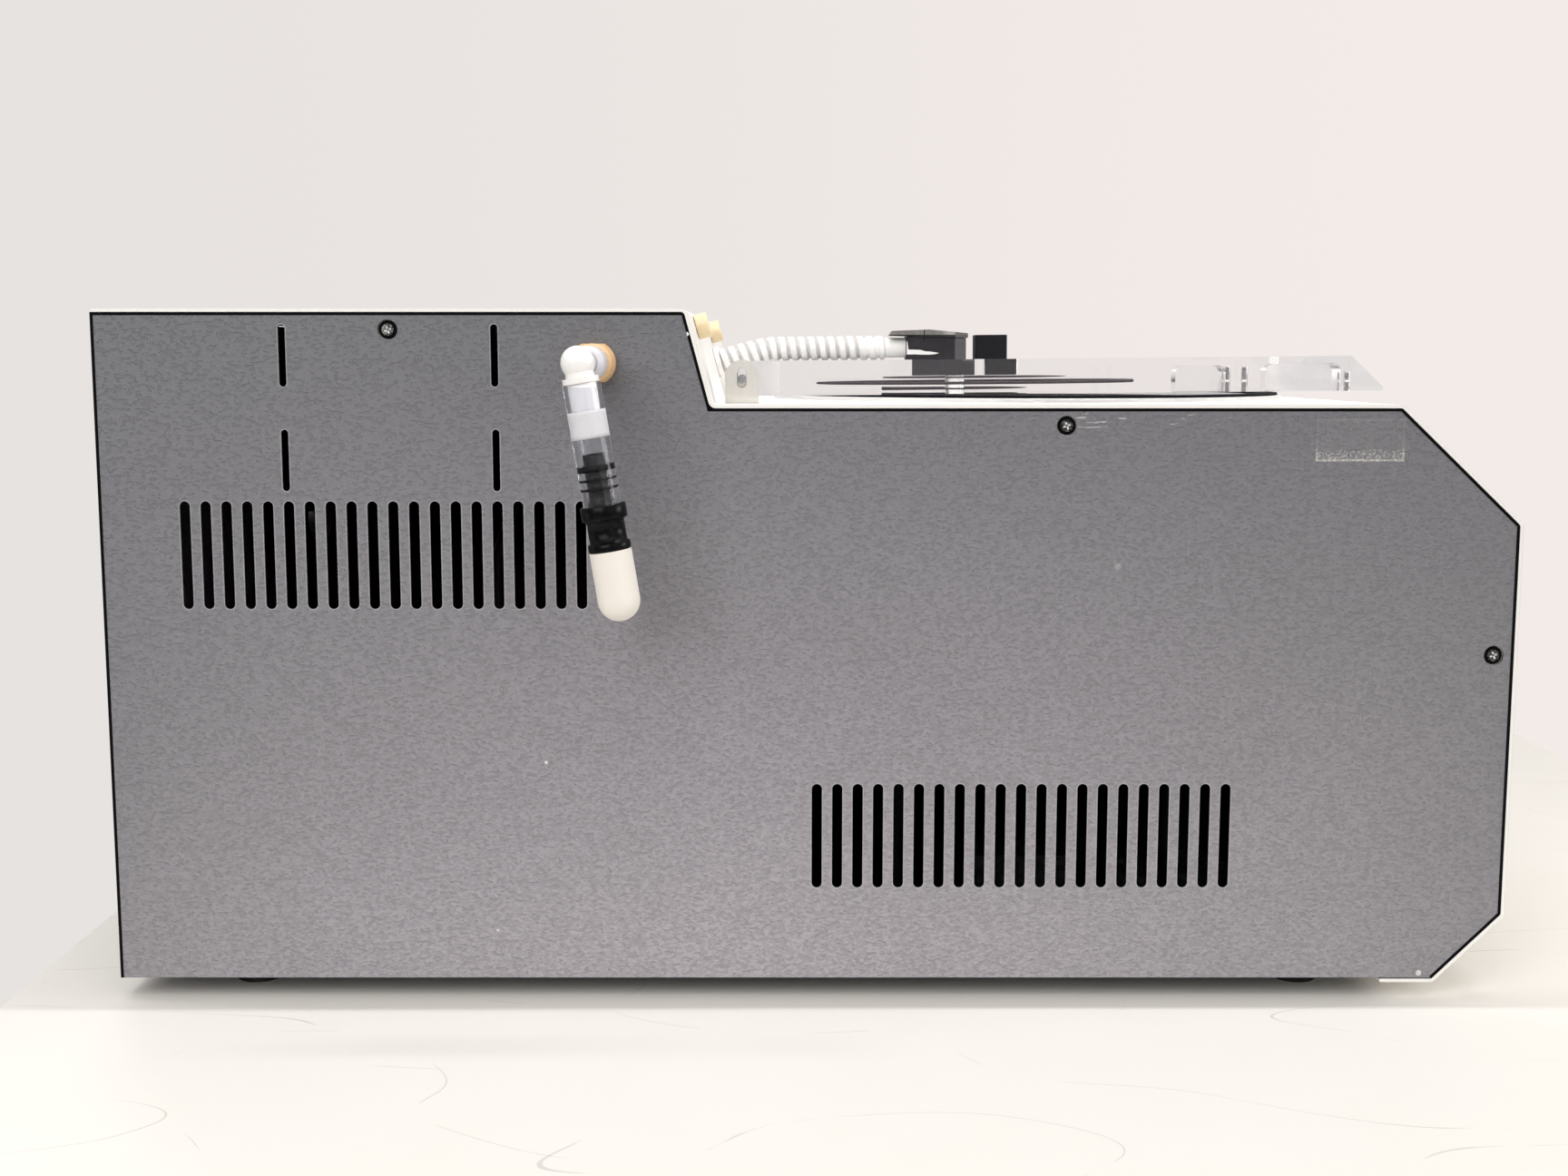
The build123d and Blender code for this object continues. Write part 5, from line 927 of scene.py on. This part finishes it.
white_part = coil.node("FunctionNodeCompare", white_test, {0: white_share, 1: 0.5})
skin = coil.paint(coil.paint(skin, hose_clear), hose_white, white_part)
bore_values = {"Curve": hose_fine, "Profile Curve": coil.circle(bore_radius)}
bore = coil.node("GeometryNodeCurveToMesh", {}, bore_values)
bore = coil.node("GeometryNodeFlipFaces", {}, {"Mesh": bore})
coil.finish(skin, coil.paint(bore, hose_clear))
hose = coil.make(hose_guide, "ribbed_hose")
hose.data.polygons.foreach_set("use_smooth", [True] * len(hose.data.polygons))
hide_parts("lid_hose")
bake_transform(hose)

# Elbow boot: black rubber folded over the elbow under a softer cap strip. Black lines along the cap's edge
# and down one crease are painted shade, and the lighter front of the cap and a lighter strip down the front
# end are painted light.
# The block that the lid is pulled up by is plain black foam rubber.
boot_rubber = Finish("boot_rubber", (0.012, 0.011, 0.013), Roughness=0.6, Specular_IOR_Level=0.3)
boot_x, _, boot_z = boot_rubber.axes()
boot_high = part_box("elbow_boot")[1]
boot_cap = boot_z.above(boot_high[2] - 0.0034, 0.0002)
boot_cap_crease_shade = boot_cap * boot_z.below(boot_high[2] - 0.0030, 0.0002)
boot_cap_front_light = boot_x.above(boot_high[0] - 0.010, 0.006)
boot_front_highlight = boot_x.above(boot_high[0] - 0.0068, 0.0004) * boot_z.above(boot_high[2] - 0.017, 0.0005)
boot_grey = boot_rubber.noise(0.003, 3.0)
boot_tone = boot_rubber.blend(boot_grey, (0.016, 0.014, 0.017), (0.027, 0.025, 0.029))
boot_cap_tone = boot_rubber.blend(boot_grey, (0.13, 0.122, 0.12), (0.26, 0.245, 0.235))
boot_cap_tone = boot_rubber.blend(boot_cap_front_light * 0.75, boot_cap_tone, (0.46, 0.42, 0.39))
boot_crease_shade = abs(boot_x - (panel_low[0] + 0.3894)).below(0.0002, 0.0002)
boot_crease_shade = boot_crease_shade * boot_z.above(panel_low[2] + 0.2998, 0.001)
# Painted light and shade: black crease lines, and a lighter front end.
boot_layers = [
    (boot_cap, boot_cap_tone),
    (boot_cap_crease_shade, (0.004, 0.004, 0.004)),
    (boot_front_highlight * 0.9, (0.11, 0.104, 0.106)),
    (boot_crease_shade, (0.003, 0.003, 0.003)),
]
boot_rubber.set(Base_Color=boot_rubber.layered(boot_tone, boot_layers))
boot_fold = boot_rubber.noise(0.012, 3.0, stretch=(1, 1, 0.5), turn=(0, radians(35), 0))
boot_rubber.relief(boot_fold * 0.85 + boot_grey * 0.15, 0.0025, 0.0004)
dress(boot_rubber, "elbow_boot")
fold_white = grained("fold_gap", [(0.90, 0.89, 0.87)], (0.001,), 0.00004, Roughness=0.5)
fold_line = [
    (379.9, 299.8), (380.2, 299.7), (380.8, 295.3), (384.2, 295.2), (387.3, 295.1), (389.8, 294.4),
    (393.5, 294.1), (397.7, 293.4), (395.4, 292.8), (392.2, 292.5), (388.0, 292.5), (384.3, 292.7),
    (379.9, 292.6),
]
fold_gap = prism("boot_fold_gap", fold_line, middle_y - 8.15 * MM, 0.4 * MM, fold_white)
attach(fold_gap, "lid")
dull = dict(Roughness=0.75, Specular_IOR_Level=0.25)
pull_foam = grained("pull_block", [(0.007, 0.007, 0.009)], (0.0012, 3.0), 0.0002, 0.0004, **dull)
dress(pull_foam, "lid_pull")

# Flow knobs: cream moulded plastic on the slanted face.
cream = Finish("cream_plastic", (0.84, 0.67, 0.42), Roughness=0.4)
cream_tone = cream.noise(0.006, 3.0)
cream.tint(cream_tone, (0.85, 0.67, 0.40), (0.93, 0.76, 0.51))
cream.relief(cream.noise(0.001), 0.00004, 0.0003)
dress(cream, "flow_knob_left", "flow_knob_right")

# Exhaust port: a tan collar with two flats, then a tan washer and a smaller ring, brown round its bore.
tan_tones = [(0.69, 0.45, 0.23), (0.80, 0.56, 0.32)]
tan_metal = grained("tan_collar", tan_tones, (0.003, 3.0), 0.00005, 0.0006, Metallic=0.15, Roughness=0.4)
dress(tan_metal, "exhaust_bushing")
ring_stack = Finish("port_rings", (0.62, 0.60, 0.64), Roughness=0.45)
stack_x, stack_y, stack_z = ring_stack.axes()
stack_face = panel_low[1] - 7.0 * MM
swivel_place = Vector(joint_place["exhaust_swivel"])
stack_reach = ring_stack.diagonal(stack_x - swivel_place.x, stack_z - swivel_place.z)
stack_inner = stack_y.below(stack_face, 0.1 * MM) * stack_reach.below(6.7 * MM, 0.2 * MM)
stack_grain = ring_stack.noise(0.001, 2.0)
stack_tan = ring_stack.blend(stack_grain, (0.84, 0.60, 0.37), (0.92, 0.70, 0.47))
stack_brown = ring_stack.blend(stack_grain, (0.33, 0.26, 0.23), (0.42, 0.34, 0.30))
ring_stack.tint(stack_inner, stack_tan, stack_brown)
ring_stack.relief(stack_grain, 0.00004, 0.0004)
dress(ring_stack, "exhaust_rings")

# Exhaust elbow: the white plastic, painted greyer down its hanging leg inside the tube as painted shade,
# and a pale lavender sleeve pushed on to the leg between the port and the ball.
elbow_white = Finish("elbow_white", (0.92, 0.90, 0.865), Roughness=0.28)
elbow_z = elbow_white.axes()[2]
elbow_grain = elbow_white.noise(0.003, 3.0)
elbow_tone = elbow_white.blend(elbow_grain, (0.91, 0.89, 0.855), (0.94, 0.925, 0.90))
# Painted shade: the leg inside the tube is painted greyer.
elbow_leg_shade = elbow_z.below(swivel_place.z - 10.5 * MM, 0.4 * MM) * 0.8
elbow_white.tint(elbow_leg_shade, elbow_tone, (0.42, 0.415, 0.44))
elbow_white.relief(elbow_grain, 0.00005, 0.0003)
dress(elbow_white, "exhaust_elbow")
ball_place = swivel_place + Vector((-2.4, -44.0, 0)) * MM
sleeve_root = swivel_place + Vector((0, -11.5, 0)) * MM
sleeve_axis = ball_place - sleeve_root
sleeve_tones = [(0.66, 0.655, 0.705), (0.78, 0.775, 0.82)]
sleeve_pale = grained("pale_sleeve", sleeve_tones, (0.0015, 3.0), 0.00004, 0.0003, Roughness=0.4)
sleeve_profile = [
    (1.5, 5.7), (1.5, 7.1), (1.9, 7.5), (11.2, 7.5), (11.6, 7.2), (11.8, 6.9), (18.5, 6.8), (18.7, 5.7),
]
sleeve = turn("elbow_sleeve", sleeve_profile, sleeve_root, sleeve_axis, sleeve_pale)
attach(sleeve, "exhaust_outlet")

# Clear tube on the elbow's barb: soft plastic with a faint blue cast.
clear_tube = Finish("clear_tube", (0.95, 0.96, 0.98), Roughness=0.0, Transmission_Weight=1.0, IOR=1.30)
clear_tube.relief(clear_tube.noise(0.004, 2.0), 0.00005)
clear_tube.let_light_through(0.85)
dress(clear_tube, "exhaust_tube")

# Tape: a band of white cloth tape wrapped once round the tube, its ends a little askew at the back.
tape_tones = [(0.65, 0.645, 0.67), (0.71, 0.705, 0.73)]
tape_weave = (0.0012, 3.0, (1, 1, 0.4))
tape = grained("white_tape", tape_tones, tape_weave, 0.0001, Roughness=0.6)
elbow_lean = radians(9.17)
hang = Vector((sin(elbow_lean), 0, -cos(elbow_lean)))
hang_right = Vector((cos(elbow_lean), 0, sin(elbow_lean)))
hang_front = Vector((0, -1, 0))
tape_start = 20.7 * MM
tape_end = 32.5 * MM
tape_r = 8.32 * MM
tape_rows = 8
tape_steps = 72
tape_points = []
for row in range(tape_rows + 1):
    share = row / tape_rows
    tape_low = -100 + 24 * share
    for index in range(tape_steps + 1):
        angle = radians(tape_low + 352 * index / tape_steps)
        radius = tape_r + 0.12 * MM * (index / tape_steps)
        out = hang_front * cos(angle) + hang_right * sin(angle)
        tape_middle = ball_place + hang * (tape_start + (tape_end - tape_start) * share)
        tape_points.append(tape_middle + out * radius)
tape_faces = []
for row in range(tape_rows):
    for index in range(tape_steps):
        first = row * (tape_steps + 1) + index
        tape_faces.append((first, first + 1, first + tape_steps + 2, first + tape_steps + 1))
tape_band = add_mesh("wrapped_tape", tape_points, tape_faces, tape)
tape_wall = tape_band.modifiers.new("wall", "SOLIDIFY")
tape_wall.thickness = 0.22 * MM
tape_wall.offset = 1
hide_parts("tube_band")
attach(tape_band, "exhaust_outlet")

# Adapter: a black moulded fitting with one broad and two thin barbs pressed into the tube, a collar with
# a moulding mark, a body and the ring that holds the muffler.
adapter_black = Finish("adapter_black", (0.001, 0.001, 0.002), Roughness=0.3, Specular_IOR_Level=0.12)
adapter_wear = adapter_black.noise(0.002, 3.0)
adapter_black.tint(adapter_wear.above(0.70, 0.1), (0.002, 0.002, 0.003), (0.010, 0.010, 0.012))
adapter_black.relief(adapter_wear, 0.00008)
adapter_profile = [
    (39.3, 3.0), (39.3, 4.6), (39.7, 5.0), (43.6, 5.0), (44.4, 6.55), (46.9, 6.6), (47.0, 5.2),
    (49.9, 5.2), (50.0, 6.6), (51.0, 6.6), (51.1, 5.2), (53.9, 5.2), (54.0, 6.6), (55.0, 6.6), (55.1, 5.2),
    (59.2, 5.2), (60.2, 6.2), (61.7, 6.2), (61.75, 9.7), (62.1, 10.0), (67.6, 10.0), (68.0, 9.6),
    (68.0, 8.6), (68.7, 8.55), (68.8, 8.2), (77.9, 8.2), (78.0, 8.9), (78.4, 9.3), (81.3, 9.3),
    (81.65, 9.0), (81.65, 3.0),
]
adapter = turn("barbed_adapter", adapter_profile, ball_place, hang, adapter_black)
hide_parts("muffler_adapter")
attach(adapter, "exhaust_outlet")
mark_place = ball_place + hang * 64.8 * MM + hang_right * -1.8 * MM + hang_front * 9.8 * MM
mark_profile = [(-0.4, 0.8), (0.25, 0.9), (0.38, 1.15), (0.25, 1.5), (-0.4, 1.7)]
mark = turn("moulding_mark", mark_profile, mark_place, hang_front, adapter_black, 24)
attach(mark, "exhaust_outlet")

# Muffler: a domed cup of porous white plastic, sintered from fine beads and screwed into the adapter.
porous_tones = [(0.81, 0.76, 0.69), (0.88, 0.83, 0.76)]
porous = grained("porous_plastic", porous_tones, (0.0005, 3.0), 0.0001, Roughness=0.9)
dress(porous, "muffler_element")

# Control panel on the front bevel: grey bezel, dark window and two keys over their board.
bezel_finish = grained("bezel_grey", [(0.20, 0.21, 0.225)], (0.0008,), 0.00006, 0.0004, Roughness=0.48)
dress(bezel_finish, "control_bezel")
glossy = dict(Roughness=0.08, Coat_Weight=0.6)
window_finish = grained("display_window", [(0.008, 0.011, 0.014)], (0.01, 1.0), 0.00003, **glossy)
dress(window_finish, "display_window")
for key_name, key_color in (("start_key", (0.05, 0.26, 0.11)), ("stop_key", (0.42, 0.04, 0.03))):
    key_finish = grained(key_name + "_rubber", [key_color], (0.0009,), 0.00006, 0.0004, Roughness=0.5)
    dress(key_finish, key_name)
# Painted shade: the boards are near black, so the inside looks dark through the vents.
board = Finish("circuit_board", (0.004, 0.004, 0.005), Roughness=0.5, Specular_IOR_Level=0.2)
board_tracks = board.noise(0.003, 1.0, stretch=(1, 0.3, 1)).above(0.55, 0.03)
board.tint(board_tracks, (0.004, 0.004, 0.005), (0.010, 0.011, 0.010))
dress(board, "key_board", "circuit_board")
